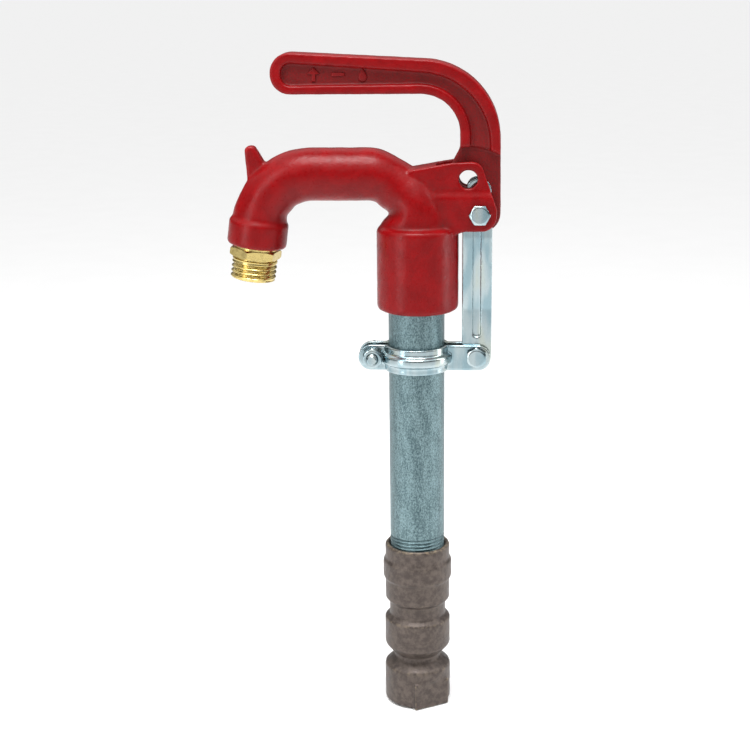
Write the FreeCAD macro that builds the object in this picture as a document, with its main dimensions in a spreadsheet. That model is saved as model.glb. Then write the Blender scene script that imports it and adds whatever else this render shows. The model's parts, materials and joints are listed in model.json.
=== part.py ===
import FreeCAD, Part
import math
import os
import Sketcher
from FreeCAD import Rotation, Vector

# Frost-free yard hydrant: an iron head with a curved spout slides on a galvanised
# standpipe, lifted by a lever whose two side links hang from a clamp on the pipe.
# Inside, a rod carries the head's motion down to a plunger in the bronze valve body.
#
# Frame: origin on the standpipe's axis at the inlet face, +Z up, the spout towards -X,
# the lever's pivot towards +X. The lever is modelled shut, with its grip level.

# ---------------------------------------------------------------- driving dimensions
# Millimetres and degrees. Heights are above the inlet face.
DIMENSIONS = {
    # standpipe: 1 inch pipe
    "pipe_dia": 33.4,
    "pipe_bore_dia": 26.6,
    "pipe_foot": 86,
    "pipe_top": 290,
    "pipe_thread_pitch": 2.2,
    "pipe_thread_depth": 0.7,
    "pipe_thread_turns": 10,
    # valve body
    "body_foot_dia": 41,
    "body_foot_top": 23.6,
    "neck_dia": 28,
    "neck_low": 29,
    "neck_high": 32,
    "ring_dia": 40.6,
    "ring_low": 38,
    "ring_high": 55.5,
    "waist_dia": 34.7,
    "waist_low": 58,
    "waist_high": 66.5,
    "socket_dia": 39.9,
    "socket_low": 68.7,
    "bead_dia": 42.4,
    "bead_low": 83,
    "bead_high": 94,
    "body_top": 105,
    "inlet_dia": 24,
    "inlet_depth": 20,
    "port_dia": 17,
    "seat_dia": 22,
    "seat_bore_dia": 15,
    "seat_low": 36,
    "seat_lip": 43.8,
    "chamber_dia": 26,
    "chamber_low": 42,
    "pad_width": 23.6,
    "pad_height": 17,
    "pad_reach": 19.4,
    "pad_turn": 30,
    "drain_dia": 3.2,
    "drain_height": 66,
    # plunger and rod
    "plunger_dia": 25.2,
    "plunger_low": 50.5,
    "plunger_high": 62,
    "holder_dia": 18.6,
    "holder_low": 46.6,
    "holder_high": 48,
    "stem_dia": 9.2,
    "seal_wire_dia": 3,
    "seal_low": 53,
    "seal_high": 59.3,
    "disc_dia": 18.4,
    "disc_low": 44,
    "flow_hole_dia": 4,
    "flow_hole_pitch_dia": 14.4,
    "screw_dia": 3,
    "screw_head_dia": 7,
    "screw_head_height": 2.4,
    "rod_dia": 9.52,
    "rod_thread_dia": 6.2,
    "rod_nut_flats": 14.3,
    "rod_nut_height": 6,
    # collar of the head
    "collar_dia": 48.3,
    "collar_low": 253.4,
    "collar_high": 302,
    "collar_shift": 0.8,
    "guide_dia": 34,
    "guide_low": 272.4,
    "guide_high": 294,
    "bridge_height": 8,
    "bridge_width": 9,
    "bridge_boss_dia": 17,
    "packing_box_dia": 42,
    "packing_bore_dia": 33.5,
    "packing_pitch": 4.6,
    "packing_low": 258.4,
    "snap_groove_low": 254.8,
    "snap_groove_width": 1.5,
    "snap_groove_dia": 44.4,
    "snap_ring_bore_dia": 37,
    # spout
    "spout_dia": 31,
    "spout_wall": 4,
    "spout_height": 333.4,
    "run_left": 60.9,
    "run_right": 26,
    "bend_radius": 32,
    "outlet_tilt": 8,
    "bell_dia": 35.3,
    "bell_length": 14.6,
    "outlet_thread_dia": 26.4,
    "outlet_thread_depth": 13,
    "horn_width": 9,
    # hose adapter, measured from the bell's lip outwards
    "adapter_neck_dia": 25.2,
    "adapter_neck_length": 1.8,
    "adapter_hex_flats": 27,
    "adapter_hex_length": 5,
    "adapter_relief_dia": 24,
    "adapter_relief_length": 1.2,
    "hose_thread_dia": 26.95,
    "hose_thread_length": 12,
    "adapter_bore_dia": 18,
    # ears that carry the lever
    "ear_half_upper": 10.4,
    "ear_half_lower": 12,
    "ear_gap_half": 6.9,
    "shelf_low": 321.1,
    "shelf_high": 324.8,
    "padlock_x": 30.4,
    "padlock_z": 331.5,
    "padlock_dia": 10.8,
    # lever
    "pivot_x": 37.1,
    "pivot_z": 311.5,
    "lever_half": 8.8,
    "web_half": 5.4,
    "tongue_half": 3.4,
    "lever_boss_dia": 24.6,
    "grip_end": -83,
    "grip_top": 403.9,
    "grip_low": 379.8,
    "lever_back": 48.4,
    "lever_front": 25.5,
    "step_x": 30.5,
    "step_z": 313,
    "step_radius": 36.8,
    # links
    "link_pin_x": 35.6,
    "link_pin_z": 323.6,
    "link_pin_dia": 5,
    "link_pin_half": 6.6,
    "link_foot_x": 35.8,
    "link_width": 17.5,
    "link_sheet": 2.5,
    "link_gap_low": 0.4,
    "link_bend_low": 253.5,
    "link_bend_high": 297,
    "link_groove_width": 4.8,
    "link_groove_depth": 1.1,
    "link_groove_low": 236.5,
    "link_groove_high": 306,
    "link_eye_x": 36.7,
    "link_eye_z": 324.9,
    "link_eye_dia": 8.7,
    "link_head_half": 6.6,
    # clamp
    "clamp_z": 224.4,
    "clamp_bolt_z": 225.1,
    "clamp_height": 15.4,
    "clamp_sheet": 2.7,
    "clamp_bore_dia": 33.5,
    "clamp_gap": 5.9,
    "clamp_rib_dia": 43.6,
    "clamp_rib_width": 5.4,
    "clamp_left": 34.6,
    "clamp_right": 44.2,
    "clamp_bolt_left": 26,
    # quarter-inch fasteners
    "bolt_dia": 6.35,
    "bolt_clearance_dia": 6.5,
    "bolt_flats": 11.1,
    "bolt_head": 4.2,
    "nut_height": 5.5,
    "lock_washer_dia": 12,
    "lock_washer": 1.6,
    "bolt_spare": 3.4,
}

ALONG_Y = Rotation(Vector(1, 0, 0), -90)
TOWARDS_FRONT = Rotation(Vector(1, 0, 0), 90)
UPRIGHT = Rotation()
PLANE_ROLES = {"XY": "XY_Plane", "XZ": "XZ_Plane", "YZ": "YZ_Plane"}
COLLAR_RADIUS = "sizes.collar_dia / 2"

document = FreeCAD.newDocument("yard_hydrant")
sizes = document.addObject("Spreadsheet::Sheet", "sizes")
nodes = {}


# ---------------------------------------------------------------- shared helpers
def fill_sheet():
    """Write every driving dimension into the sheet, one aliased cell each."""
    for row, (alias, amount) in enumerate(DIMENSIONS.items(), start=1):
        sizes.set(f"A{row}", alias.replace("_", " "))
        sizes.set(f"B{row}", str(amount))
        sizes.setAlias(f"B{row}", alias)
    document.recompute()


def amount(text):
    """The number that a sheet expression comes to."""
    return float(sizes.evalExpression(text))


def place(thing, at=("0", "0", "0"), turn=UPRIGHT):
    """Turn an object and bind its base point to three sheet expressions."""
    thing.Placement = FreeCAD.Placement(Vector(*[amount(text) for text in at]), turn)
    for axis, text in zip("xyz", at):
        thing.setExpression(f"Placement.Base.{axis}", text)
    return thing


def primitive(kind, name, at=("0", "0", "0"), turn=UPRIGHT, **bindings):
    """A Part primitive with its sizes and its base point bound to the sheet."""
    thing = document.addObject(f"Part::{kind}", name)
    for size, text in bindings.items():
        thing.setExpression(size, text)
    return place(thing, at, turn)


def fuse(name, shapes):
    joined = document.addObject("Part::MultiFuse", name)
    joined.Shapes = shapes
    return joined


def cut(name, base, tools):
    """The base less one tool, or less several joined tools."""
    remainder = document.addObject("Part::Cut", name)
    remainder.Base = base
    remainder.Tool = tools[0] if len(tools) == 1 else fuse(f"{name}_tools", tools)
    return remainder


def common(name, shapes):
    shared = document.addObject("Part::MultiCommon", name)
    shared.Shapes = shapes
    return shared


def group(name, shapes):
    gathered = document.addObject("Part::Compound", name)
    gathered.Links = shapes
    return gathered


def keep(label, thing):
    """Give a finished sub-part its name and put it on the list to be written."""
    thing.Label = label
    nodes[label] = thing
    return thing


def origin_plane(body, plane):
    role = PLANE_ROLES[plane]
    return next(item for item in body.Origin.OriginFeatures if item.Role == role)


def bind_point(sketch, element, position, across, up):
    """Hold one sketch point at two sheet expressions, or on an axis where one is zero."""
    for kind, axis, text in (("DistanceX", -2, across), ("DistanceY", -1, up)):
        if text == "0":
            sketch.addConstraint(Sketcher.Constraint("PointOnObject", element, position, axis))
            continue
        held = Sketcher.Constraint(kind, -1, 1, element, position, amount(text))
        index = sketch.addConstraint(held)
        sketch.setExpression(f"Constraints[{index}]", text)


def rounding(before, corner, after, radius):
    """Tangent points, centre and turning sense of an arc that rounds a corner."""
    inward = (before - corner).normalize()
    outward = (after - corner).normalize()
    half = inward.getAngle(outward) / 2
    reach = radius / math.tan(half)
    middle = corner + (inward + outward).normalize() * (radius / math.sin(half))
    left_turn = inward.cross(outward).z < 0
    return corner + inward * reach, corner + outward * reach, middle, left_turn


def outline_sketch(body, plane, corners):
    """A closed outline on an origin plane: straight runs with rounded or sharp corners.

    Each corner is (across, up) or (across, up, radius), all sheet expressions, given
    anticlockwise as the plane is seen.
    """
    sketch = body.newObject("Sketcher::SketchObject", f"{body.Name}_outline")
    sketch.AttachmentSupport = [(origin_plane(body, plane), "")]
    sketch.MapMode = "FlatFace"
    points = [Vector(amount(corner[0]), amount(corner[1]), 0) for corner in corners]
    count = len(points)
    leaving = list(points)
    arriving = list(points)
    arcs = {}
    for index, corner in enumerate(corners):
        if len(corner) < 3:
            continue
        before = points[index - 1]
        after = points[(index + 1) % count]
        radius = amount(corner[2])
        arriving[index], leaving[index], middle, left_turn = rounding(before, points[index], after, radius)
        arcs[index] = (middle, radius, left_turn)
    runs = []
    for index in range(count):
        run = Part.LineSegment(leaving[index], arriving[(index + 1) % count])
        runs.append(sketch.addGeometry(run))
    for index, corner in enumerate(corners):
        incoming = runs[index - 1]
        outgoing = runs[index]
        if index not in arcs:
            sketch.addConstraint(Sketcher.Constraint("Coincident", incoming, 2, outgoing, 1))
            bind_point(sketch, outgoing, 1, corner[0], corner[1])
            continue
        middle, radius, left_turn = arcs[index]
        first, last = (arriving[index], leaving[index]) if left_turn else (leaving[index], arriving[index])
        circle = Part.Circle(middle, Vector(0, 0, 1), radius)
        arc = sketch.addGeometry(Part.ArcOfCircle(circle, circle.parameter(first), circle.parameter(last)))
        meets_in, meets_out = (1, 2) if left_turn else (2, 1)
        sketch.addConstraint(Sketcher.Constraint("Tangent", incoming, 2, arc, meets_in))
        sketch.addConstraint(Sketcher.Constraint("Tangent", outgoing, 1, arc, meets_out))
        bend = sketch.addConstraint(Sketcher.Constraint("Radius", arc, radius))
        sketch.setExpression(f"Constraints[{bend}]", corner[2])
        vertex = sketch.addGeometry(Part.Point(points[index]), True)
        sketch.addConstraint(Sketcher.Constraint("PointOnObject", vertex, 1, incoming))
        sketch.addConstraint(Sketcher.Constraint("PointOnObject", vertex, 1, outgoing))
        bind_point(sketch, vertex, 1, corner[0], corner[1])
    return sketch


def new_body(name):
    return document.addObject("PartDesign::Body", name)


def turned(name, corners, at=("0", "0", "0"), turn=UPRIGHT):
    """A body of revolution: an outline of (radius, height) corners turned about its Z axis."""
    body = new_body(name)
    sketch = outline_sketch(body, "XZ", corners)
    revolution = body.newObject("PartDesign::Revolution", f"{name}_turned")
    revolution.Profile = sketch
    revolution.ReferenceAxis = (sketch, ["V_Axis"])
    revolution.Angle = 360
    return place(body, at, turn)


def prism(name, plane, corners, thickness):
    """An outline padded equally to both sides of its origin plane."""
    body = new_body(name)
    pad = body.newObject("PartDesign::Pad", f"{name}_pad")
    pad.Profile = outline_sketch(body, plane, corners)
    pad.SideType = "Symmetric"
    pad.setExpression("Length", thickness)
    return body


def ring(name, outer, inner, low, high, at=("0", "0", "0"), turn=UPRIGHT):
    """A plain ring from two diameters and two heights, all sheet expressions."""
    corners = [(f"({inner}) / 2", low), (f"({outer}) / 2", low)]
    corners += [(f"({outer}) / 2", high), (f"({inner}) / 2", high)]
    return turned(name, corners, at, turn)


def cross_hole(name, diameter, across, up, reach="40"):
    """A drill along Y through both sides, for cutting with."""
    return primitive("Cylinder", name, at=(across, f"-({reach})", up), turn=ALONG_Y,
                     Radius=f"({diameter}) / 2", Height=f"2 * ({reach})")


def hexagon(name, flats, height, at, turn):
    """A hexagonal prism from its width across flats, its outer corners turned off."""
    across_corners = f"({flats}) / cos(30)"
    prism_blank = primitive("Prism", f"{name}_blank", at, turn,
                            Circumradius=f"{across_corners} / 2", Height=height)
    prism_blank.Polygon = 6
    rim = f"({flats}) * 0.475"
    widest = f"{across_corners} / 2 + 0.2"
    corners = [("0", "0"), (widest, "0"), (widest, f"({height}) * 0.82"), (rim, height), ("0", height)]
    envelope = turned(f"{name}_envelope", corners, at, turn)
    return common(name, [prism_blank, envelope])


def hex_bolt(name, at, turn, shank):
    """A quarter-inch hexagon bolt, its head's underside at the base point, pointing along Z."""
    head_turn = turn.multiply(Rotation(Vector(1, 0, 0), 180))
    head = hexagon(f"{name}_head", "sizes.bolt_flats", "sizes.bolt_head", at, head_turn)
    radius = "sizes.bolt_dia / 2"
    tip = [("0", "0"), (radius, "0"), (radius, f"({shank}) - 0.8")]
    tip += [(f"{radius} - 0.8", shank), ("0", shank)]
    return fuse(name, [head, turned(f"{name}_shank", tip, at, turn)])


def hex_nut(name, at, turn):
    """A quarter-inch nut with its bearing face at the base point."""
    blank = hexagon(f"{name}_body", "sizes.bolt_flats", "sizes.nut_height", at, turn)
    hole = primitive("Cylinder", f"{name}_hole", at, turn,
                     Radius="sizes.bolt_dia / 2", Height="sizes.nut_height + 1")
    return cut(name, blank, [hole])


def lock_washer(name, at, turn):
    """A split spring washer with its underside at the base point."""
    body = ring(f"{name}_ring", "sizes.lock_washer_dia", "sizes.bolt_clearance_dia",
                "0", "sizes.lock_washer", at, turn)
    slit_width = 0.9
    slit = document.addObject("Part::Box", f"{name}_slit")
    slit.Length = slit_width
    slit.setExpression("Width", "sizes.lock_washer_dia")
    slit.setExpression("Height", "sizes.lock_washer + 2")
    offset = turn.multVec(Vector(-slit_width / 2, 0, -1))
    base = [f"{text} + {step:.6f}" for text, step in zip(at, (offset.x, offset.y, offset.z))]
    place(slit, base, turn)
    return cut(name, body, [slit])


# ---------------------------------------------------------------- standpipe and valve body
def make_standpipe():
    """Galvanised tube, its foot threaded into the valve body and its top inside the head."""
    bore = "sizes.pipe_bore_dia / 2"
    radius = "sizes.pipe_dia / 2"
    corners = [(bore, "sizes.pipe_foot"), (f"{radius} - 1", "sizes.pipe_foot")]
    corners += [(radius, "sizes.pipe_foot + 1"), (radius, "sizes.pipe_top - 1.5")]
    corners += [(f"{radius} - 1.5", "sizes.pipe_top"), (bore, "sizes.pipe_top")]
    tube = turned("tube", corners)
    root = f"{radius} - sizes.pipe_thread_depth"
    first = "sizes.pipe_foot + sizes.pipe_thread_pitch"
    half = "sizes.pipe_thread_pitch * 0.42"
    crest = f"{radius} + 0.4"
    notch = [(root, first), (crest, f"{first} - {half}"), (crest, f"{first} + {half}")]
    groove = tube.newObject("PartDesign::Groove", "thread_groove")
    sketch = outline_sketch(tube, "XZ", notch)
    groove.Profile = sketch
    groove.ReferenceAxis = (sketch, ["V_Axis"])
    groove.Angle = 360
    document.recompute()
    turns = tube.newObject("PartDesign::LinearPattern", "thread_turns")
    turns.Originals = [groove]
    turns.Direction = (sketch, ["V_Axis"])
    turns.setExpression("Length", "sizes.pipe_thread_pitch * (sizes.pipe_thread_turns - 1)")
    turns.setExpression("Occurrences", "sizes.pipe_thread_turns")
    tube.Tip = turns
    keep("standpipe", tube)


def valve_body_outline():
    """Half section of the valve body, up its stepped outside and down its bores."""
    foot = "sizes.body_foot_dia / 2"
    neck = "sizes.neck_dia / 2"
    ring_edge = "sizes.ring_dia / 2"
    waist = "sizes.waist_dia / 2"
    socket = "sizes.socket_dia / 2"
    bead = "sizes.bead_dia / 2"
    inlet = "sizes.inlet_dia / 2"
    port = "sizes.port_dia / 2"
    seat = "sizes.seat_dia / 2"
    chamber = "sizes.chamber_dia / 2"
    thread = "sizes.pipe_dia / 2 + 0.05"
    outside = [(inlet, "0"), (f"{foot} - 1.2", "0"), (foot, "1.2"),
               (foot, "sizes.body_foot_top"), (f"{foot} - 0.8", "sizes.body_foot_top + 1"),
               (neck, "sizes.neck_low"), (neck, "sizes.neck_high", "1.2"),
               (f"{neck} + 2.2", "sizes.neck_high + 1"), (ring_edge, "sizes.ring_low"),
               (ring_edge, "sizes.ring_high"), (f"{ring_edge} - 1.1", "sizes.ring_high + 1"),
               (waist, "sizes.waist_low"), (waist, "sizes.waist_high"),
               (socket, "sizes.socket_low"), (socket, "sizes.bead_low - 1.2"),
               (bead, "sizes.bead_low", "1"), (bead, "sizes.bead_high", "2"),
               (socket, "sizes.bead_high + 1.4"), (socket, "sizes.body_top - 1", "0.6"),
               (f"{socket} - 1", "sizes.body_top")]
    inside = [(f"{thread} + 1", "sizes.body_top"), (thread, "sizes.body_top - 1.4"),
              (thread, "sizes.pipe_foot - 1.5"), (chamber, "sizes.pipe_foot - 1.5"),
              (chamber, "sizes.chamber_low"), (seat, "sizes.chamber_low"),
              (seat, "sizes.seat_low"), (port, "sizes.seat_low"),
              (port, "sizes.inlet_depth + 3"), (inlet, "sizes.inlet_depth")]
    return outside + inside


def wrench_block(name, about, start):
    """A block as wide and high as a wrench pad, reaching out from a distance off the axis."""
    block = document.addObject("Part::Box", name)
    block.setExpression("Length", "sizes.pad_width")
    block.setExpression("Width", "sizes.pad_reach")
    block.setExpression("Height", "sizes.pad_height")
    across = -amount("sizes.pad_width") / 2
    out = -amount("sizes.pad_reach") - amount(start)
    block.Placement = FreeCAD.Placement(about.multVec(Vector(across, out, 0)), about)
    return block


def make_valve_body():
    """Bronze casting with a wrench pad each side at its foot and a drain port in its waist."""
    casting = turned("casting", valve_body_outline())
    padded = casting
    for name, quarter in (("front", 0), ("rear", 180)):
        about = Rotation(Vector(0, 0, 1), amount("sizes.pad_turn") + quarter)
        pad = wrench_block(f"pad_{name}", about, "0")
        shaving = wrench_block(f"shaving_{name}", about, "sizes.pad_reach")
        bore = primitive("Cylinder", f"pad_clearance_{name}", Radius="sizes.inlet_dia / 2 + 2.5",
                         Height="sizes.pad_height")
        raised = fuse(f"padded_{name}", [padded, cut(f"pad_face_{name}", pad, [bore])])
        padded = cut(f"shaved_{name}", raised, [shaving])
    drain = primitive("Cylinder", "drain_drill", at=("0", "0", "sizes.drain_height"), turn=ALONG_Y,
                      Radius="sizes.drain_dia / 2", Height="sizes.waist_dia")
    keep("valve_body", cut("valve_body", padded, [drain]))


def make_valve_seat():
    """Brass seat pressed into the valve body, with a raised lip that the disc closes on."""
    outer = "sizes.seat_dia / 2"
    inner = "sizes.seat_bore_dia / 2"
    corners = [(inner, "sizes.seat_low"), (outer, "sizes.seat_low"), (outer, "sizes.chamber_low")]
    corners += [(f"{inner} + 1.8", "sizes.chamber_low + 0.4"), (f"{inner} + 1", "sizes.seat_lip")]
    corners += [(inner, "sizes.seat_lip")]
    keep("valve_seat", turned("seat", corners))


def make_plunger():
    """Brass piston with two seal grooves, a holder below for the disc, and flow holes."""
    rim = "sizes.plunger_dia / 2"
    groove = f"{rim} - sizes.seal_wire_dia + 0.35"
    half = "sizes.seal_wire_dia / 2 + 0.1"
    holder = "sizes.holder_dia / 2"
    stem = "sizes.stem_dia / 2"
    corners = [("0", "sizes.holder_low"), (holder, "sizes.holder_low"), (holder, "sizes.holder_high"),
               (stem, "sizes.holder_high"), (stem, "sizes.plunger_low"), (rim, "sizes.plunger_low")]
    for seal in ("sizes.seal_low", "sizes.seal_high"):
        corners += [(rim, f"{seal} - ({half})"), (groove, f"{seal} - ({half})")]
        corners += [(groove, f"{seal} + {half}"), (rim, f"{seal} + {half}")]
    corners += [(rim, "sizes.plunger_high"), ("0", "sizes.plunger_high")]
    piston = turned("piston", corners)
    holes = []
    for index in range(4):
        across = f"sizes.flow_hole_pitch_dia / 2 * cos({90 * index + 45})"
        along = f"sizes.flow_hole_pitch_dia / 2 * sin({90 * index + 45})"
        holes.append(primitive("Cylinder", f"flow_hole_{index}",
                               at=(across, along, "sizes.plunger_low - 1"), Radius="sizes.flow_hole_dia / 2",
                               Height="sizes.plunger_high - sizes.plunger_low + 2"))
    holes.append(primitive("Cylinder", "rod_hole", at=("0", "0", "sizes.plunger_low + 2"),
                           Radius="sizes.rod_thread_dia / 2", Height="20"))
    holes.append(primitive("Cylinder", "screw_hole", at=("0", "0", "sizes.holder_low - 1"),
                           Radius="sizes.screw_dia / 2", Height="6"))
    keep("plunger", cut("plunger", piston, holes))


def make_plunger_seals():
    """Two rubber O-rings that run in the valve body's chamber."""
    seals = []
    for name, height in (("lower_seal", "sizes.seal_low"), ("upper_seal", "sizes.seal_high")):
        seals.append(primitive("Torus", name, at=("0", "0", height),
                               Radius1="sizes.chamber_dia / 2 - sizes.seal_wire_dia / 2 - 0.06",
                               Radius2="sizes.seal_wire_dia / 2"))
    keep("plunger_seals", group("plunger_seals", seals))


def make_seat_disc():
    """Rubber disc that closes on the seat, held up by its screw."""
    disc = ring("disc", "sizes.disc_dia", "sizes.screw_dia + 0.2", "sizes.disc_low", "sizes.holder_low")
    keep("seat_disc", disc)
    shank = "sizes.screw_dia / 2"
    head = "sizes.screw_head_dia / 2"
    top = "sizes.holder_low + 4.5"
    crown = "sizes.disc_low - sizes.screw_head_height"
    corners = [("0", crown), (f"{head} - 1", crown), (head, f"{crown} + 1"), (head, "sizes.disc_low"),
               (shank, "sizes.disc_low"), (shank, top), ("0", top)]
    keep("disc_screw", turned("screw", corners))


def make_lift_rod():
    """Rod from the plunger up to the bridge inside the head, with its lock nut under the bridge."""
    radius = "sizes.rod_dia / 2"
    thread = "sizes.rod_thread_dia / 2"
    top = "sizes.guide_high + sizes.bridge_height - 2.5"
    foot = "sizes.plunger_low + 3"
    corners = [("0", foot), (thread, foot), (thread, "sizes.plunger_high"), (radius, "sizes.plunger_high"),
               (radius, f"{top} - 1"), (f"{radius} - 1", top), ("0", top)]
    keep("lift_rod", turned("rod", corners))
    at = ("0", "0", "sizes.guide_high - sizes.rod_nut_height")
    blank = hexagon("rod_nut", "sizes.rod_nut_flats", "sizes.rod_nut_height", at, UPRIGHT)
    hole = primitive("Cylinder", "rod_nut_hole", at, Radius=radius, Height="sizes.rod_nut_height")
    keep("rod_lock_nut", cut("rod_lock_nut", blank, [hole]))


# ---------------------------------------------------------------- head
# Stations of the flare from the level run down into the collar: distance out from the
# standpipe's axis, drop below the run's centre line, growth in radius and slope.
FLARE_STATIONS = (
    ("-17", "3.4", "-0.8", 22),
    ("-6.8", "10.1", "0.2", 49),
    ("0.3", "21.9", "2.5", 80),
    ("1.0", "32.4", "4.3", 90),
)
BEND_STEPS = 6
RUN_STEPS = 4


def spout_stations():
    """Centre, radius growth and slope of every circle along the spout, outlet end first."""
    stations = []
    for step in range(BEND_STEPS, -1, -1):
        share = f"(90 - sizes.outlet_tilt) * {step} / {BEND_STEPS}"
        across = f"-sizes.run_left - sizes.bend_radius * sin({share})"
        drop = f"sizes.bend_radius * (1 - cos({share}))"
        stations.append((across, drop, "0", -amount(share)))
    for step in range(1, RUN_STEPS + 1):
        across = f"-sizes.run_left + (sizes.run_left - sizes.run_right) * {step} / {RUN_STEPS}"
        stations.append((across, "0", "0", 0))
    return stations + list(FLARE_STATIONS)


def spout_solid(name, radius):
    """Loft through circles along the bend, the level run and the flare into the collar."""
    sections = []
    for index, (across, drop, growth, slope) in enumerate(spout_stations()):
        circle = primitive("Circle", f"{name}_station_{index}", turn=Rotation(Vector(0, 1, 0), 90 + slope),
                           at=(across, "0", f"sizes.spout_height - ({drop})"), Radius=f"{radius} + {growth}")
        sections.append(circle)
    loft = document.addObject("Part::Loft", name)
    loft.Sections = sections
    loft.Solid = True
    return loft


def outlet_place():
    """Base point and turn of the outlet: at the left bend's end, +Z pointing out of the spout."""
    across = "-sizes.run_left - sizes.bend_radius * cos(sizes.outlet_tilt)"
    height = "sizes.spout_height - sizes.bend_radius * (1 - sin(sizes.outlet_tilt))"
    return (across, "0", height), Rotation(Vector(0, 1, 0), 180 + amount("sizes.outlet_tilt"))


def make_head_shell():
    """Outside of the head casting: spout, bell, collar, horn and the ears for the lever."""
    at, turn = outlet_place()
    tube = "sizes.spout_dia / 2"
    bell_edge = "sizes.bell_dia / 2"
    bell = turned("bell", [("0", "-3"), (f"{tube} - 0.2", "-3"), (bell_edge, "0.6", "1"),
                           (bell_edge, "sizes.bell_length", "2"), ("0", "sizes.bell_length")], at, turn)
    collar = turned("collar", [("0", "sizes.collar_low"), (COLLAR_RADIUS, "sizes.collar_low", "2.6"),
                               (COLLAR_RADIUS, "sizes.collar_high + 0.6", "2.6"),
                               ("0", "sizes.collar_high + 4")], ("sizes.collar_shift", "0", "0"))
    horn = prism("horn", "XZ", [("-97.6", "320"), ("-84", "322"), ("-74", "338"), ("-87.4", "338.6", "5"),
                                ("-94.2", "350.2", "2.4"), ("-99.8", "349.8", "2.6")], "sizes.horn_width")
    return [spout_solid("spout", tube), bell, collar, horn, make_ears()]


def make_ears():
    """Two ears joined at the back, thicker below a sloping shelf, with the lever's slot between."""
    outline = prism("ear_outline", "XZ",
                    [("8", "296"), ("22", "299"), ("28", "301.2", "6"),
                     ("sizes.pivot_x + 10", "sizes.pivot_z - 10", "9"),
                     ("sizes.pivot_x + 10", "sizes.pivot_z + 2.5"),
                     ("42.7", "326.5"), ("37.3", "341.9", "6.5"), ("20", "340.9", "40"), ("-4", "336.6")],
                    "2 * sizes.ear_half_lower")
    low = "sizes.ear_half_lower"
    high = "sizes.ear_half_upper"
    section = prism("ear_section", "YZ",
                    [(f"-{low}", "290"), (low, "290"), (low, "sizes.shelf_low"), (high, "sizes.shelf_high"),
                     (high, "350"), (f"-{high}", "350"), (f"-{high}", "sizes.shelf_high"),
                     (f"-{low}", "sizes.shelf_low")], "120")
    slot = prism("ear_slot", "XZ",
                 [("23.8", "285"), ("60", "285"), ("60", "350"), ("12", "350"), ("12", "334.2", "1"),
                  ("22.2", "334.2", "1.5"), ("22.2", "325"), ("23.8", "322")], "2 * sizes.ear_gap_half")
    pivot = cross_hole("ear_pivot_hole", "sizes.bolt_dia + 0.06", "sizes.pivot_x", "sizes.pivot_z")
    padlock = cross_hole("ear_padlock_hole", "sizes.padlock_dia", "sizes.padlock_x", "sizes.padlock_z")
    return cut("ears", common("ear_blank", [outline, section]), [slot, pivot, padlock])


def make_head_hollow():
    """Waterway, pipe guide, packing box and outlet thread of the head casting."""
    at, turn = outlet_place()
    waterway = spout_solid("waterway", "(sizes.spout_dia / 2 - sizes.spout_wall)")
    box = "sizes.packing_box_dia / 2"
    groove = "sizes.snap_groove_dia / 2"
    guide = "sizes.guide_dia / 2"
    top_of_groove = "sizes.snap_groove_low + sizes.snap_groove_width"
    bores = turned("collar_bores", [
        ("0", "sizes.collar_low - 1"), (box, "sizes.collar_low - 1"), (box, "sizes.snap_groove_low"),
        (groove, "sizes.snap_groove_low"), (groove, top_of_groove), (box, top_of_groove),
        (box, "sizes.guide_low"), (guide, "sizes.guide_low"), (guide, "sizes.collar_high - 2"),
        ("0", "sizes.collar_high + 2")])
    outlet = turned("outlet_thread", [
        ("0", "sizes.bell_length - sizes.outlet_thread_depth - 5"),
        ("sizes.spout_dia / 2 - sizes.spout_wall - 1", "sizes.bell_length - sizes.outlet_thread_depth - 5"),
        ("sizes.outlet_thread_dia / 2", "sizes.bell_length - sizes.outlet_thread_depth"),
        ("sizes.outlet_thread_dia / 2", "sizes.bell_length + 1"), ("0", "sizes.bell_length + 1")], at, turn)
    return [waterway, bores, outlet]


def make_head_casting():
    """Head casting with the bridge across its collar that the lift rod screws into."""
    shell = fuse("head_shell", make_head_shell())
    hollowed = cut("head_hollowed", shell, make_head_hollow())
    arm = document.addObject("Part::Box", "bridge_arm")
    arm.setExpression("Length", "sizes.guide_dia + 2")
    arm.setExpression("Width", "sizes.bridge_width")
    arm.setExpression("Height", "sizes.bridge_height")
    place(arm, ("-sizes.guide_dia / 2 - 1", "-sizes.bridge_width / 2", "sizes.guide_high"))
    boss = primitive("Cylinder", "bridge_boss", at=("0", "0", "sizes.guide_high"),
                     Radius="sizes.bridge_boss_dia / 2", Height="sizes.bridge_height")
    bridged = fuse("head_bridged", [hollowed, arm, boss])
    tapping = primitive("Cylinder", "rod_tapping", at=("0", "0", "sizes.guide_high - 1"),
                        Radius="sizes.rod_dia / 2", Height="sizes.bridge_height - 1")
    keep("head_casting", cut("head_casting", bridged, [tapping]))


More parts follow.
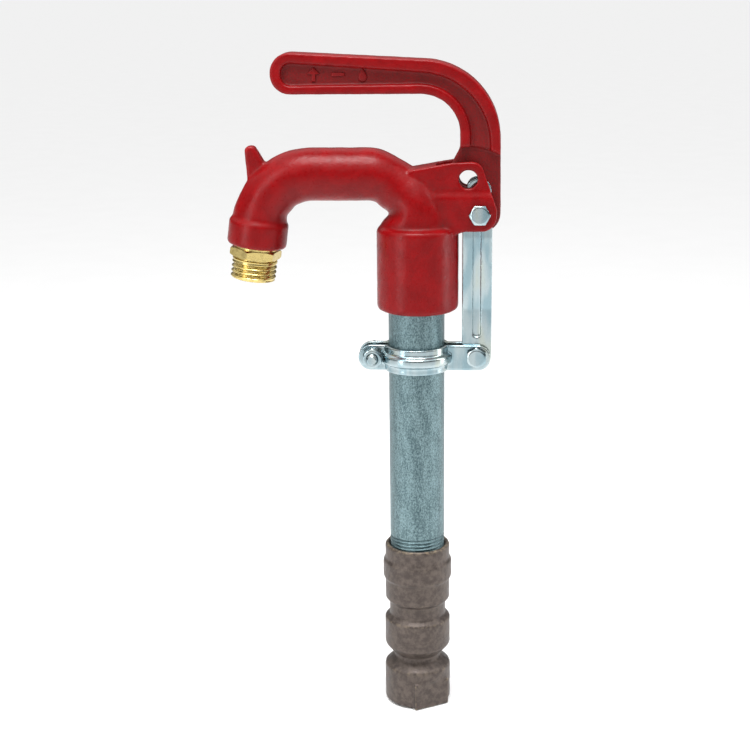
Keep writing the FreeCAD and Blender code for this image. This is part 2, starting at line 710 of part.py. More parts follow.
def make_packing():
    """Three rubber packing rings, the brass washer under them and the snap ring that holds them."""
    inner = "sizes.packing_bore_dia / 2"
    outer = "sizes.packing_box_dia / 2 - 0.1"
    middle = f"(({inner}) + ({outer})) / 2"
    rings = []
    for index in range(3):
        low = f"sizes.packing_low + {index} * sizes.packing_pitch"
        high = f"{low} + sizes.packing_pitch - 1.2"
        corners = [(inner, low), (middle, f"{low} + 1"), (outer, low), (outer, high),
                   (middle, f"{high} + 1"), (inner, high)]
        rings.append(turned(f"packing_{index}", corners))
    keep("packing_rings", group("packing_rings", rings))
    washer = ring("gland", "sizes.packing_box_dia - 0.2", "sizes.guide_dia",
                  "sizes.packing_low - 2", "sizes.packing_low")
    keep("packing_washer", washer)
    whole = ring("snap_ring_blank", "sizes.snap_groove_dia - 0.4", "sizes.snap_ring_bore_dia",
                 "sizes.snap_groove_low + 0.1", "sizes.snap_groove_low + sizes.snap_groove_width - 0.1")
    gap = document.addObject("Part::Box", "snap_ring_gap")
    gap.Length = 9
    gap.Width = 30
    gap.Height = 10
    place(gap, ("-4.5", "0", "sizes.snap_groove_low - 4"))
    keep("packing_snap_ring", cut("packing_snap_ring", whole, [gap]))


def make_hose_adapter():
    """Brass adapter: tapered thread inside the bell, a hexagon and a male hose thread."""
    at, turn = outlet_place()
    lip = "sizes.bell_length"
    neck_end = f"{lip} + sizes.adapter_neck_length"
    hex_end = f"{neck_end} + sizes.adapter_hex_length"
    relief_end = f"{hex_end} + sizes.adapter_relief_length"
    nose = f"{relief_end} + sizes.hose_thread_length"
    bore = "sizes.adapter_bore_dia / 2"
    inner_thread = "sizes.outlet_thread_dia / 2"
    neck = "sizes.adapter_neck_dia / 2"
    relief = "sizes.adapter_relief_dia / 2"
    hose = "sizes.hose_thread_dia / 2"
    start = f"{lip} - sizes.outlet_thread_depth + 0.6"
    turned_part = turned("adapter_turned", [
        (bore, start), (inner_thread, start), (inner_thread, f"{lip} - 0.6"), (neck, lip),
        (neck, f"{neck_end} + 0.5"), (neck, hex_end), (relief, hex_end), (relief, relief_end),
        (hose, relief_end), (hose, f"{nose} - 1.2"), (f"{hose} - 1.2", nose), (f"{bore} + 1", nose),
        (bore, f"{nose} - 1")], at, turn)
    hex_at = (f"{at[0]} - ({neck_end}) * sin(sizes.outlet_tilt)", "0",
              f"{at[2]} - ({neck_end}) * cos(sizes.outlet_tilt)")
    hexed = hexagon("adapter_hex", "sizes.adapter_hex_flats", "sizes.adapter_hex_length", hex_at, turn)
    bore_drill = primitive("Cylinder", "adapter_drill", hex_at, turn, Radius=bore,
                           Height="sizes.adapter_hex_length + 1")
    hex_collar = cut("adapter_hex_collar", hexed, [bore_drill])
    keep("hose_adapter", fuse("hose_adapter", [turned_part, hex_collar]))


def make_pivot_fasteners():
    """Hexagon bolt through both ears, with a lock washer and nut behind them."""
    front = "-sizes.ear_half_lower"
    rear = "sizes.ear_half_lower"
    washer_face = f"{rear} + sizes.lock_washer"
    turn = ALONG_Y
    shank = "2 * sizes.ear_half_lower + sizes.lock_washer + sizes.nut_height + 2"
    bolt = hex_bolt("pivot_bolt", ("sizes.pivot_x", front, "sizes.pivot_z"), turn, shank)
    keep("pivot_bolt", bolt)
    washer = lock_washer("pivot_lock_washer", ("sizes.pivot_x", rear, "sizes.pivot_z"), turn)
    keep("pivot_lock_washer", washer)
    keep("pivot_nut", hex_nut("pivot_nut", ("sizes.pivot_x", washer_face, "sizes.pivot_z"), turn))


# ---------------------------------------------------------------- lever and links
def make_lever():
    """Cast lever: an I-section grip and leg that steps down to a thin tongue between the ears."""
    boss = "sizes.lever_boss_dia / 2"
    blank = prism("lever_blank", "XZ", [
        (f"sizes.pivot_x - {boss}", f"sizes.pivot_z - {boss}", f"{boss} - 0.5"),
        (f"sizes.pivot_x + {boss}", f"sizes.pivot_z - {boss}", f"{boss} - 0.5"),
        ("sizes.lever_back", "sizes.grip_top - 7.2", "45.5"),
        ("sizes.grip_end", "sizes.grip_top", "11.2"), ("sizes.grip_end", "sizes.grip_low", "11.4"),
        ("sizes.lever_front", "sizes.grip_low", "22.5"), ("sizes.lever_front", "349", "6"),
        ("19.2", "337", "0.6"),
        (f"sizes.pivot_x - {boss}", "333.6", "3")], "2 * sizes.lever_half")
    recess = prism("lever_recess", "XZ", [
        ("31.4", "320"), ("43", "320"), ("43", "389.4", "41.4"), ("-76.9", "397.9", "6"),
        ("-76.9", "384.7", "5.8"), ("31.4", "385.6", "29")], "4 * sizes.lever_half")
    web = prism("lever_web", "XZ", [("-90", "300"), ("60", "300"), ("60", "410"), ("-90", "410")],
                "2 * sizes.web_half")
    side_recess = cut("lever_side_recess", recess, [web])
    step = primitive("Cylinder", "lever_step", turn=ALONG_Y, at=("sizes.step_x", "-20", "sizes.step_z"),
                     Radius="sizes.step_radius", Height="40")
    tongue = prism("lever_tongue", "XZ", [("-20", "260"), ("90", "260"), ("90", "370"), ("-20", "370")],
                   "2 * sizes.tongue_half")
    side_step = cut("lever_side_step", step, [tongue])
    pivot = cross_hole("lever_pivot_hole", "sizes.bolt_clearance_dia", "sizes.pivot_x", "sizes.pivot_z")
    pin = cross_hole("lever_pin_hole", "sizes.link_pin_dia", "sizes.link_pin_x", "sizes.link_pin_z")
    padlock = cross_hole("lever_padlock_hole", "sizes.padlock_dia + 0.2",
                         "sizes.padlock_x", "sizes.padlock_z")
    keep("lever_handle", cut("lever_handle", blank, [side_recess, side_step, pivot, pin, padlock]))
    edge = "sizes.link_pin_dia / 2"
    pin_corners = [("0", "-sizes.link_pin_half"), (edge, "-sizes.link_pin_half"),
                   (edge, "sizes.link_pin_half"), ("0", "sizes.link_pin_half")]
    keep("link_pin", turned("pin", pin_corners, ("sizes.link_pin_x", "0", "sizes.link_pin_z"), ALONG_Y))


def make_link(label, side):
    """Stamped steel side link, bent to straddle the tongue and open on one side for the pivot bolt."""
    half = "sizes.link_width / 2"
    round_head = "sizes.link_head_half - 0.1"
    low_in = "sizes.link_gap_low / 2"
    high_in = "sizes.tongue_half + 0.3"
    foot = "sizes.clamp_z - 12"
    head = "sizes.link_pin_z + 12"
    inner = [(low_in, foot), (low_in, "sizes.link_bend_low", "8"),
             (high_in, "sizes.link_bend_high", "8"), (high_in, head)]
    outer = [(f"{across} + sizes.link_sheet", *rest) for across, *rest in reversed(inner)]
    corners = [(f"{side} * ({across})", *rest) for across, *rest in inner + outer]
    if side > 0:
        corners.reverse()
    strip = prism(f"{label}_strip", "YZ", corners, "200")
    outline = prism(f"{label}_outline", "XZ", [
        (f"sizes.link_foot_x - {half}", f"sizes.clamp_bolt_z - {half}", f"{half} - 0.05"),
        (f"sizes.link_foot_x + {half}", f"sizes.clamp_bolt_z - {half}", f"{half} - 0.05"),
        (f"sizes.link_foot_x + {half}", "sizes.pivot_z - 3"),
        ("sizes.link_eye_x + sizes.link_head_half", "sizes.link_eye_z + sizes.link_head_half", round_head),
        ("sizes.link_eye_x - sizes.link_head_half", "sizes.link_eye_z + sizes.link_head_half", round_head),
        (f"sizes.link_foot_x - {half}", "sizes.pivot_z - 3")], "60")
    foot_hole = cross_hole(f"{label}_foot_hole", "sizes.bolt_clearance_dia",
                           "sizes.link_foot_x", "sizes.clamp_bolt_z")
    pin_hole = cross_hole(f"{label}_pin_hole", "sizes.link_eye_dia", "sizes.link_eye_x", "sizes.link_eye_z")
    floor = "sizes.link_sheet - sizes.link_groove_depth"
    groove_out = [(f"{across} + {floor}", *rest) for across, *rest in inner]
    groove_far = [("30", head), ("30", foot)]
    channel_corners = [(f"{side} * ({across})", *rest) for across, *rest in groove_out + groove_far]
    if side > 0:
        channel_corners.reverse()
    channel_depth = prism(f"{label}_channel_depth", "YZ", channel_corners, "200")
    groove_half = "sizes.link_groove_width / 2"
    channel_outline = prism(f"{label}_channel_outline", "XZ", [
        (f"sizes.link_foot_x - {groove_half}", "sizes.link_groove_low", f"{groove_half} - 0.05"),
        (f"sizes.link_foot_x + {groove_half}", "sizes.link_groove_low", f"{groove_half} - 0.05"),
        (f"sizes.link_pin_x + {groove_half}", "sizes.link_groove_high", f"{groove_half} - 0.05"),
        (f"sizes.link_pin_x - {groove_half}", "sizes.link_groove_high", f"{groove_half} - 0.05")], "60")
    channel = common(f"{label}_channel", [channel_depth, channel_outline])
    blank = common(f"{label}_blank", [strip, outline])
    bolt_path = prism(f"{label}_bolt_path", "XZ", [
        ("sizes.pivot_x - 18.8", "sizes.pivot_z + 7.9"),
        ("sizes.pivot_x + 1.1", "sizes.pivot_z - 5.4", "3.4"),
        ("sizes.pivot_x + 5.4", "sizes.pivot_z + 1.1", "3.4"),
        ("sizes.pivot_x - 14.4", "sizes.pivot_z + 14.4")], "60")
    keep(label, cut(label, blank, [foot_hole, pin_hole, channel, bolt_path]))


# ---------------------------------------------------------------- clamp
def make_clamp_half(label, side):
    """Stamped half clamp: a band round half the pipe with a raised rib and two bolting ears."""
    low = "sizes.clamp_z - sizes.clamp_height / 2"
    inner = "sizes.clamp_bore_dia / 2"
    outer = f"{inner} + sizes.clamp_sheet"
    band = primitive("Cylinder", f"{label}_band", at=("0", "0", low),
                     Radius=outer, Height="sizes.clamp_height")
    rib = turned(f"{label}_rib", [
        ("sizes.pipe_dia / 2", "-sizes.clamp_rib_width / 2 - 1"), (outer, "-sizes.clamp_rib_width / 2 - 1"),
        ("sizes.clamp_rib_dia / 2", "-sizes.clamp_rib_width / 2 + 0.6", "1.4"),
        ("sizes.clamp_rib_dia / 2", "sizes.clamp_rib_width / 2 - 0.6", "1.4"),
        (outer, "sizes.clamp_rib_width / 2 + 1"), ("sizes.pipe_dia / 2", "sizes.clamp_rib_width / 2 + 1")],
        at=("0", "0", "sizes.clamp_z"))
    flange = document.addObject("Part::Box", f"{label}_flange")
    flange.setExpression("Length", "sizes.clamp_left + sizes.clamp_right")
    flange.setExpression("Width", "sizes.clamp_sheet")
    flange.setExpression("Height", "sizes.clamp_height")
    near = "sizes.clamp_gap / 2" if side > 0 else "-sizes.clamp_gap / 2 - sizes.clamp_sheet"
    place(flange, ("-sizes.clamp_left", near, low))
    ends = prism(f"{label}_ends", "XZ", [
        ("-sizes.clamp_left", low, "sizes.clamp_height / 2 - 0.05"),
        ("sizes.clamp_right", low, "sizes.clamp_height / 2 - 0.05"),
        ("sizes.clamp_right", f"{low} + sizes.clamp_height", "sizes.clamp_height / 2 - 0.05"),
        ("-sizes.clamp_left", f"{low} + sizes.clamp_height", "sizes.clamp_height / 2 - 0.05")], "80")
    side_space = document.addObject("Part::Box", f"{label}_side")
    side_space.Length = 200
    side_space.Width = 60
    side_space.Height = 60
    front_edge = "sizes.clamp_gap / 2" if side > 0 else "-sizes.clamp_gap / 2 - 60"
    place(side_space, ("-100", front_edge, "sizes.clamp_z - 30"))
    blank = common(f"{label}_blank", [fuse(f"{label}_joined", [band, rib, flange]), ends, side_space])
    pipe_hole = primitive("Cylinder", f"{label}_bore", at=("0", "0", f"{low} - 1"),
                          Radius=inner, Height="sizes.clamp_height + 2")
    bolts = [cross_hole(f"{label}_bolt_left", "sizes.bolt_clearance_dia",
                        "-sizes.clamp_bolt_left", "sizes.clamp_bolt_z"),
             cross_hole(f"{label}_bolt_right", "sizes.bolt_clearance_dia",
                        "sizes.link_foot_x", "sizes.clamp_bolt_z")]
    spot_face = primitive("Cylinder", f"{label}_spot_face", turn=ALONG_Y if side > 0 else TOWARDS_FRONT,
                          at=("-sizes.clamp_bolt_left", f"{side} * (sizes.clamp_gap / 2 + sizes.clamp_sheet)",
                              "sizes.clamp_bolt_z"), Radius="sizes.lock_washer_dia / 2 + 0.8", Height="30")
    keep(label, cut(label, blank, [pipe_hole, spot_face] + bolts))


def make_clamp_fasteners():
    """Two bolts, nuts and lock washers: the right bolt carries the links, its head in front."""
    face = "(sizes.clamp_gap / 2 + sizes.clamp_sheet)"
    shank = f"2 * {face} + sizes.lock_washer + sizes.nut_height + sizes.bolt_spare"
    upright = Rotation(Vector(0, 1, 0), 30)
    rows = (("right", "sizes.link_foot_x", -1, upright.multiply(ALONG_Y)),
            ("left", "-sizes.clamp_bolt_left", 1, TOWARDS_FRONT))
    bolts = []
    nuts = []
    washers = []
    for name, across, head_side, turn in rows:
        head_at = (across, f"{head_side} * {face}", "sizes.clamp_bolt_z")
        bolts.append(hex_bolt(f"clamp_bolt_{name}", head_at, turn, shank))
        washer_at = (across, f"{-head_side} * {face}", "sizes.clamp_bolt_z")
        washers.append(lock_washer(f"clamp_washer_{name}", washer_at, turn))
        nut_face = f"{-head_side} * ({face} + sizes.lock_washer)"
        nuts.append(hex_nut(f"clamp_nut_{name}", (across, nut_face, "sizes.clamp_bolt_z"), turn))
    keep("clamp_bolts", group("clamp_bolts", bolts))
    keep("clamp_nuts", group("clamp_nuts", nuts))
    keep("clamp_lock_washers", group("clamp_lock_washers", washers))


# ---------------------------------------------------------------- build, test and write
def check_document():
    """Stop before anything is written if an object failed or a sub-part is not sound."""
    for thing in document.Objects:
        if "Invalid" in thing.State or "Error" in thing.State:
            raise RuntimeError(f"{thing.Name} did not recompute: {thing.State}")
    for label, thing in nodes.items():
        if thing.Shape.isNull() or not thing.Shape.isValid() or not thing.Shape.Solids:
            raise RuntimeError(f"{label} has no sound solid")


def write_parts():
    os.makedirs("parts", exist_ok=True)
    for label, thing in nodes.items():
        thing.Shape.exportStep(os.path.join("parts", f"{label}.step"))
        print(f"{label}: {len(thing.Shape.Solids)} solid(s), {thing.Shape.Volume:.0f} cubic mm")


fill_sheet()
make_standpipe()
make_valve_body()
make_valve_seat()
make_plunger()
make_plunger_seals()
make_seat_disc()
make_lift_rod()
make_head_casting()
make_packing()
make_hose_adapter()
make_pivot_fasteners()
make_lever()
make_link("link_front", -1)
make_link("link_rear", 1)
make_clamp_half("clamp_front", -1)
make_clamp_half("clamp_rear", 1)
make_clamp_fasteners()
document.recompute()
check_document()
write_parts()
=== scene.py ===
"""Looks of the frost-free yard hydrant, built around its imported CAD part.

Castings and stampings are fine skins over their CAD solids, with the cast fillets, lumps
and worn edges worked out on their points as whole numpy arrays. Threads, fasteners, the
standpipe and the hose adapter are turned surfaces: a profile of radius and height carried
round an axis, with hexagons and helical threads worked into the radius.
"""

import json
import logging
import math
from dataclasses import dataclass, field
from enum import Enum
from typing import Protocol, Sequence

import bmesh
import bpy
import numpy as np
from mathutils import Matrix, Quaternion, Vector


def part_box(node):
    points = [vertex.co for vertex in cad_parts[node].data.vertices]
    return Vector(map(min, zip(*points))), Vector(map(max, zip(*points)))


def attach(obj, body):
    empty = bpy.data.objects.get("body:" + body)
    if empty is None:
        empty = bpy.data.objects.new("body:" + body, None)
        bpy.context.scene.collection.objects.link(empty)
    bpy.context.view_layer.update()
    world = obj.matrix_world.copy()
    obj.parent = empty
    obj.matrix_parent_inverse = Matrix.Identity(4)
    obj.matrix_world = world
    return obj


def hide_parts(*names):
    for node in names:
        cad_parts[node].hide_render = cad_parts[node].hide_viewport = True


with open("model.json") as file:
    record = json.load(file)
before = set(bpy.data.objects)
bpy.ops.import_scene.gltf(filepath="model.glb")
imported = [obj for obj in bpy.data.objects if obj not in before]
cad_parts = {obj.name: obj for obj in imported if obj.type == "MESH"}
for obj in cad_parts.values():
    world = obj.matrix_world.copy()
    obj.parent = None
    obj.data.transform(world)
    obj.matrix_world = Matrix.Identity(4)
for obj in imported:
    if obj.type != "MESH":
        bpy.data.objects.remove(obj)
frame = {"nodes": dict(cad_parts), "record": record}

log = logging.getLogger("yard_hydrant")

MM = 0.001
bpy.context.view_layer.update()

# How far turned pieces stay inside their CAD boxes.
SLACK = 0.02 * MM
# Points closer than these are merged: in the CAD's triangles, and in grids that close on a pole.
CAD_MERGE = 2e-6
GRID_MERGE = 1e-7
# Points round the outline of a cast mark.
MARK_POINTS = 84


class Slot(Enum):
    """The record's material slots."""

    RED_ENAMEL = "red_enamel"
    GALVANISED = "galvanised_steel"
    ZINC = "zinc_plate"
    BRONZE = "bronze"
    BRASS = "brass"
    RUBBER = "seal_rubber"
    STEEL = "steel"


# ---------------------------------------------------------------- reading the frame
def body_of(node: str) -> str:
    """Name of the body that a CAD node belongs to."""
    bodies = frame["record"]["behaviour"]["bodies"]
    return next(body for body, nodes in bodies.items() if node in nodes)


def mesh_points(mesh: bpy.types.Mesh) -> np.ndarray:
    """Every vertex of a mesh, one row each, in metres."""
    flat = np.empty(len(mesh.vertices) * 3, np.float32)
    mesh.vertices.foreach_get("co", flat)
    return flat.reshape(-1, 3).astype(float)


def node_points(node: str) -> np.ndarray:
    """Every vertex of a CAD node, one row each, in metres."""
    return mesh_points(frame["nodes"][node].data)


def node_box(node: str) -> tuple[np.ndarray, np.ndarray]:
    """Lowest and highest corner of a CAD node."""
    low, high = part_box(node)
    return np.array(low), np.array(high)


def side_box(node: str, side: int) -> tuple[np.ndarray, np.ndarray]:
    """Box of the solids of a node that lie on one side of the standpipe's axis.

    Args:
        node: CAD node made of one solid on each side.
        side: +1 for the lever's side, -1 for the spout's side.

    Returns:
        Lowest and highest corner.
    """
    points = node_points(node)
    points = points[points[:, 0] * side > 0]
    return points.min(0), points.max(0)


def mount(name: str) -> dict:
    """A mount of the record by its name."""
    return next(row for row in frame["record"]["mounts"] if row["name"] == name)


# ---------------------------------------------------------------- putting arrays into meshes
def set_values(mesh: bpy.types.Mesh, name: str, values: np.ndarray) -> None:
    """Store one number for each vertex as a named attribute."""
    attribute = mesh.attributes.get(name) or mesh.attributes.new(name, "FLOAT", "POINT")
    attribute.data.foreach_set("value", values.astype(np.float32))


def grid_faces(rows: int, columns: int, close_rows: bool, close_columns: bool) -> np.ndarray:
    """Quads of a grid: each joins a point to its neighbours in the next row and column.

    Args:
        rows: Number of rows.
        columns: Number of columns.
        close_rows: Whether the last row joins the first.
        close_columns: Whether the last column joins the first.

    Returns:
        One row of four point numbers for each quad.
    """
    row, column = np.meshgrid(
        np.arange(rows if close_rows else rows - 1),
        np.arange(columns if close_columns else columns - 1),
        indexing="ij",
    )
    row, column = row.ravel(), column.ravel()
    next_row, next_column = (row + 1) % rows, (column + 1) % columns
    corners = (
        row * columns + column,
        row * columns + next_column,
        next_row * columns + next_column,
        next_row * columns + column,
    )
    return np.stack(corners, 1)


def grid_object(name: str, points: np.ndarray, close_rows: bool, crease: float = 28.0) -> bpy.types.Object:
    """Closed surface from a grid of points whose columns always join up.

    Rows that shrink to one point become a closed pole when doubles are merged.

    Args:
        name: Name of the object.
        points: Array of rows by columns by three, in metres.
        close_rows: Whether the last row joins the first, as round a tube with a bore.
        crease: Degrees above which an edge stays sharp.

    Returns:
        The object, at the origin, with its faces outwards.
    """
    rows, columns, _ = points.shape
    mesh = bpy.data.meshes.new(name)
    mesh.from_pydata(points.reshape(-1, 3), [], grid_faces(rows, columns, close_rows, True))
    return closed_object(name, mesh, crease)


def closed_object(name: str, mesh: bpy.types.Mesh, crease: float) -> bpy.types.Object:
    """Merge a mesh's doubles, turn its faces outwards and shade it smooth between creases."""
    work = bmesh.new()
    work.from_mesh(mesh)
    bmesh.ops.remove_doubles(work, verts=work.verts, dist=GRID_MERGE)
    bmesh.ops.dissolve_degenerate(work, edges=work.edges, dist=1e-8)
    bmesh.ops.recalc_face_normals(work, faces=work.faces)
    work.to_mesh(mesh)
    work.free()
    mesh.shade_smooth()
    mesh.set_sharp_from_angle(angle=math.radians(crease))
    thing = bpy.data.objects.new(name, mesh)
    bpy.context.collection.objects.link(thing)
    return thing


def join(name: str, things: Sequence[bpy.types.Object]) -> bpy.types.Object:
    """One object from several that all sit at the origin."""
    work = bmesh.new()
    for thing in things:
        work.from_mesh(thing.data)
    mesh = bpy.data.meshes.new(name)
    work.to_mesh(mesh)
    work.free()
    for thing in things:
        bpy.data.objects.remove(thing)
    joined = bpy.data.objects.new(name, mesh)
    bpy.context.collection.objects.link(joined)
    return joined


def lumps(points: np.ndarray, wavelength: float, seed: int) -> np.ndarray:
    """Smooth unevenness of about -1 to 1: a sum of plane waves in many fixed directions.

    Args:
        points: Places, one row each, in metres.
        wavelength: Typical distance between bumps, in metres.
        seed: Picks the directions and phases.

    Returns:
        One number for each place.
    """
    draw = np.random.default_rng(seed)
    waves = 14
    directions = draw.normal(size=(waves, 3))
    directions /= np.linalg.norm(directions, axis=1, keepdims=True)
    rates = 2 * np.pi / wavelength * draw.uniform(0.6, 1.5, waves)
    phases = draw.uniform(0, 2 * np.pi, waves)
    return np.sin(points @ (directions * rates[:, None]).T + phases).sum(1) / math.sqrt(waves)


# ---------------------------------------------------------------- skins over cast and stamped solids
@dataclass
class Skin:
    """A cast or stamped piece: its CAD solid with every sharp corner eased as a mould leaves it.

    Attributes:
        node: CAD node that the skin stands for.
        slot: Material slot.
        cell: Size of the skin's cells.
        rounds: How many times the points are eased; the fillets grow with its square root.
        swell: Height of the casting's unevenness.
        wave: Distance between the lumps of that unevenness.
        recess: Half thickness of a sunken web, or none.
        crook: Middle of a crook that is eased further, or none.
        crook_reach: Distance from its middle at which that easing has faded out.
        crook_rounds: How many more times the crook is eased.
        lump_seed: Picks the unevenness.
        edge_spread: Rounds that spread a worn edge.
        hollow_spread: Further rounds that spread a hollow.
        web_fade: Distance over which a recess's wall turns into its web.
    """

    node: str
    slot: Slot
    cell: float
    rounds: int
    swell: float = 0.0
    wave: float = 6 * MM
    recess: float | None = None
    crook: tuple[float, float, float] | None = None
    crook_reach: float = 15 * MM
    crook_rounds: int = 45
    lump_seed: int = 5
    edge_spread: int = 4
    hollow_spread: int = 14
    web_fade: float = 1.6 * MM

    def build(self, finishes: dict[Slot, bpy.types.Material]) -> bpy.types.Object:
        """Make the skin and dress it.

        Args:
            finishes: Materials by slot.

        Returns:
            The finished object, riding on its node's body.
        """
        mesh = self.remeshed()
        points, edges = mesh_points(mesh), self.edge_pairs(mesh)
        points = self.eased(points, edges)
        mesh.vertices.foreach_set("co", points.astype(np.float32).ravel())
        mesh.update()
        normals = np.empty(len(points) * 3, np.float32)
        mesh.vertices.foreach_get("normal", normals)
        normals = normals.reshape(-1, 3).astype(float)
        if self.swell:
            sunk = np.minimum(lumps(points, self.wave, self.lump_seed) * self.swell - self.swell, 0)
            points = points + normals * sunk[:, None]
            mesh.vertices.foreach_set("co", points.astype(np.float32).ravel())
        self.mark(mesh, points, normals, edges)
        mesh.shade_smooth()
        thing = bpy.data.objects.new(f"{self.node}_skin", mesh)
        bpy.context.collection.objects.link(thing)
        return dress(thing, [self.node], self.slot, finishes)

    def remeshed(self) -> bpy.types.Mesh:
        """Even cells over the node's closed solids, from a merged copy of its triangles."""
        mesh = frame["nodes"][self.node].data.copy()
        work = bmesh.new()
        work.from_mesh(mesh)
        bmesh.ops.remove_doubles(work, verts=work.verts, dist=CAD_MERGE)
        work.to_mesh(mesh)
        work.free()
        holder = bpy.data.objects.new("remesh_holder", mesh)
        bpy.context.collection.objects.link(holder)
        cells = holder.modifiers.new("cells", "REMESH")
        cells.mode = "VOXEL"
        cells.voxel_size = self.cell
        graph = bpy.context.evaluated_depsgraph_get()
        made = bpy.data.meshes.new_from_object(holder.evaluated_get(graph))
        bpy.data.objects.remove(holder)
        made.materials.clear()
        return made

    @staticmethod
    def edge_pairs(mesh: bpy.types.Mesh) -> np.ndarray:
        """The two point numbers of every edge."""
        pairs = np.empty(len(mesh.edges) * 2, np.int32)
        mesh.edges.foreach_get("vertices", pairs)
        return pairs.reshape(-1, 2)

    @staticmethod
    def neighbour_mean(values: np.ndarray, edges: np.ndarray) -> np.ndarray:
        """Mean of each point's neighbours, column by column: sums over edges divided by their count."""
        count = len(values)
        ends = np.concatenate([edges[:, 0], edges[:, 1]])
        others = np.concatenate([edges[:, 1], edges[:, 0]])
        number = np.maximum(np.bincount(ends, minlength=count), 1)
        sums = [np.bincount(ends, weights=column[others], minlength=count) for column in values.T]
        return np.stack(sums, 1) / number[:, None]

    def eased(self, points: np.ndarray, edges: np.ndarray) -> np.ndarray:
        """Points moved about half way to their neighbours' mean, round after round.

        Points of the crook are moved further, the nearer its middle the more.
        """
        for turn in range(self.rounds):
            step = 0.55 if turn % 3 else 0.35
            points = points + step * (self.neighbour_mean(points, edges) - points)
        if self.crook is not None:
            away = np.linalg.norm(points - np.array(self.crook), axis=1, keepdims=True)
            share = 0.5 * np.clip(1.5 - 1.5 * away / self.crook_reach, 0, 1)
            for _ in range(self.crook_rounds):
                points = points + share * (self.neighbour_mean(points, edges) - points)
        return points

    def mark(self, mesh: bpy.types.Mesh, points: np.ndarray, normals: np.ndarray, edges: np.ndarray) -> None:
        """Store how far each point stands out (edge) or lies in (hollow), and how sunken its web is; hollow
        and sunken set where the red enamel paints shade.
        """
        bulge = ((points - self.neighbour_mean(points, edges)) * normals).sum(1, keepdims=True) / self.cell
        for _ in range(self.edge_spread):
            bulge = self.neighbour_mean(bulge, edges)
        wide = bulge
        for _ in range(self.hollow_spread):
            wide = self.neighbour_mean(wide, edges)
        set_values(mesh, "edge", np.clip(bulge[:, 0] * 11, 0, 1))
        # The hollow value, with the sunken one below, sets where the red enamel's painted shade goes.
        set_values(mesh, "hollow", np.clip(-wide[:, 0] * 26, 0, 1))
        sunken = np.zeros(len(points))
        if self.recess is not None:
            sunken = np.clip((self.recess + self.web_fade - np.abs(points[:, 1])) / self.web_fade, 0, 1)
        set_values(mesh, "sunken", sunken)


def dress(
    thing: bpy.types.Object, nodes: Sequence[str], slot: Slot, finishes: dict[Slot, bpy.types.Material]
) -> bpy.types.Object:
    """Give a piece its finish, let it stand for its CAD nodes and ride on their body."""
    thing.data.materials.clear()
    thing.data.materials.append(finishes[slot])
    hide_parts(*nodes)
    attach(thing, body_of(nodes[0]))
    log.info("%s: %d faces for %s", thing.name, len(thing.data.polygons), ", ".join(nodes))
    return thing


# ---------------------------------------------------------------- turned surfaces
@dataclass(frozen=True)
class Hexagon:
    """Flats worked into a turned blank between two heights."""

    low: float
    high: float
    flats: float

    def shape(self, angle: np.ndarray, radius: np.ndarray, height: np.ndarray) -> np.ndarray:
        """The lesser of the blank's radius and the hexagon's: half its flats over the cosine to the flat."""
        to_flat = np.mod(angle + np.pi / 6, np.pi / 3) - np.pi / 6
        inside = (height > self.low - 1e-6) & (height < self.high + 1e-6)
        return np.where(inside, np.minimum(radius, self.flats / 2 / np.cos(to_flat)), radius)


@dataclass(frozen=True)
class Thread:
    """Helical thread between two heights, cut inwards from the crest radius."""

    low: float
    high: float
    crest: float
    pitch: float
    depth: float

    def shape(self, angle: np.ndarray, radius: np.ndarray, height: np.ndarray) -> np.ndarray:
        """Radius less a cosine wave of height over pitch less turns, faded in and out at the ends."""
        phase = np.mod(height / self.pitch - angle / (2 * np.pi), 1.0)
        wave = 0.5 - 0.5 * np.cos(2 * np.pi * phase)
        fade = np.clip((height - self.low) / self.pitch, 0, 1)
        fade = fade * np.clip((self.high - height) / self.pitch, 0, 1)
        cut = np.abs(radius - self.crest) < self.depth * 0.6
        return np.where(cut, radius - self.depth * wave * fade, radius)


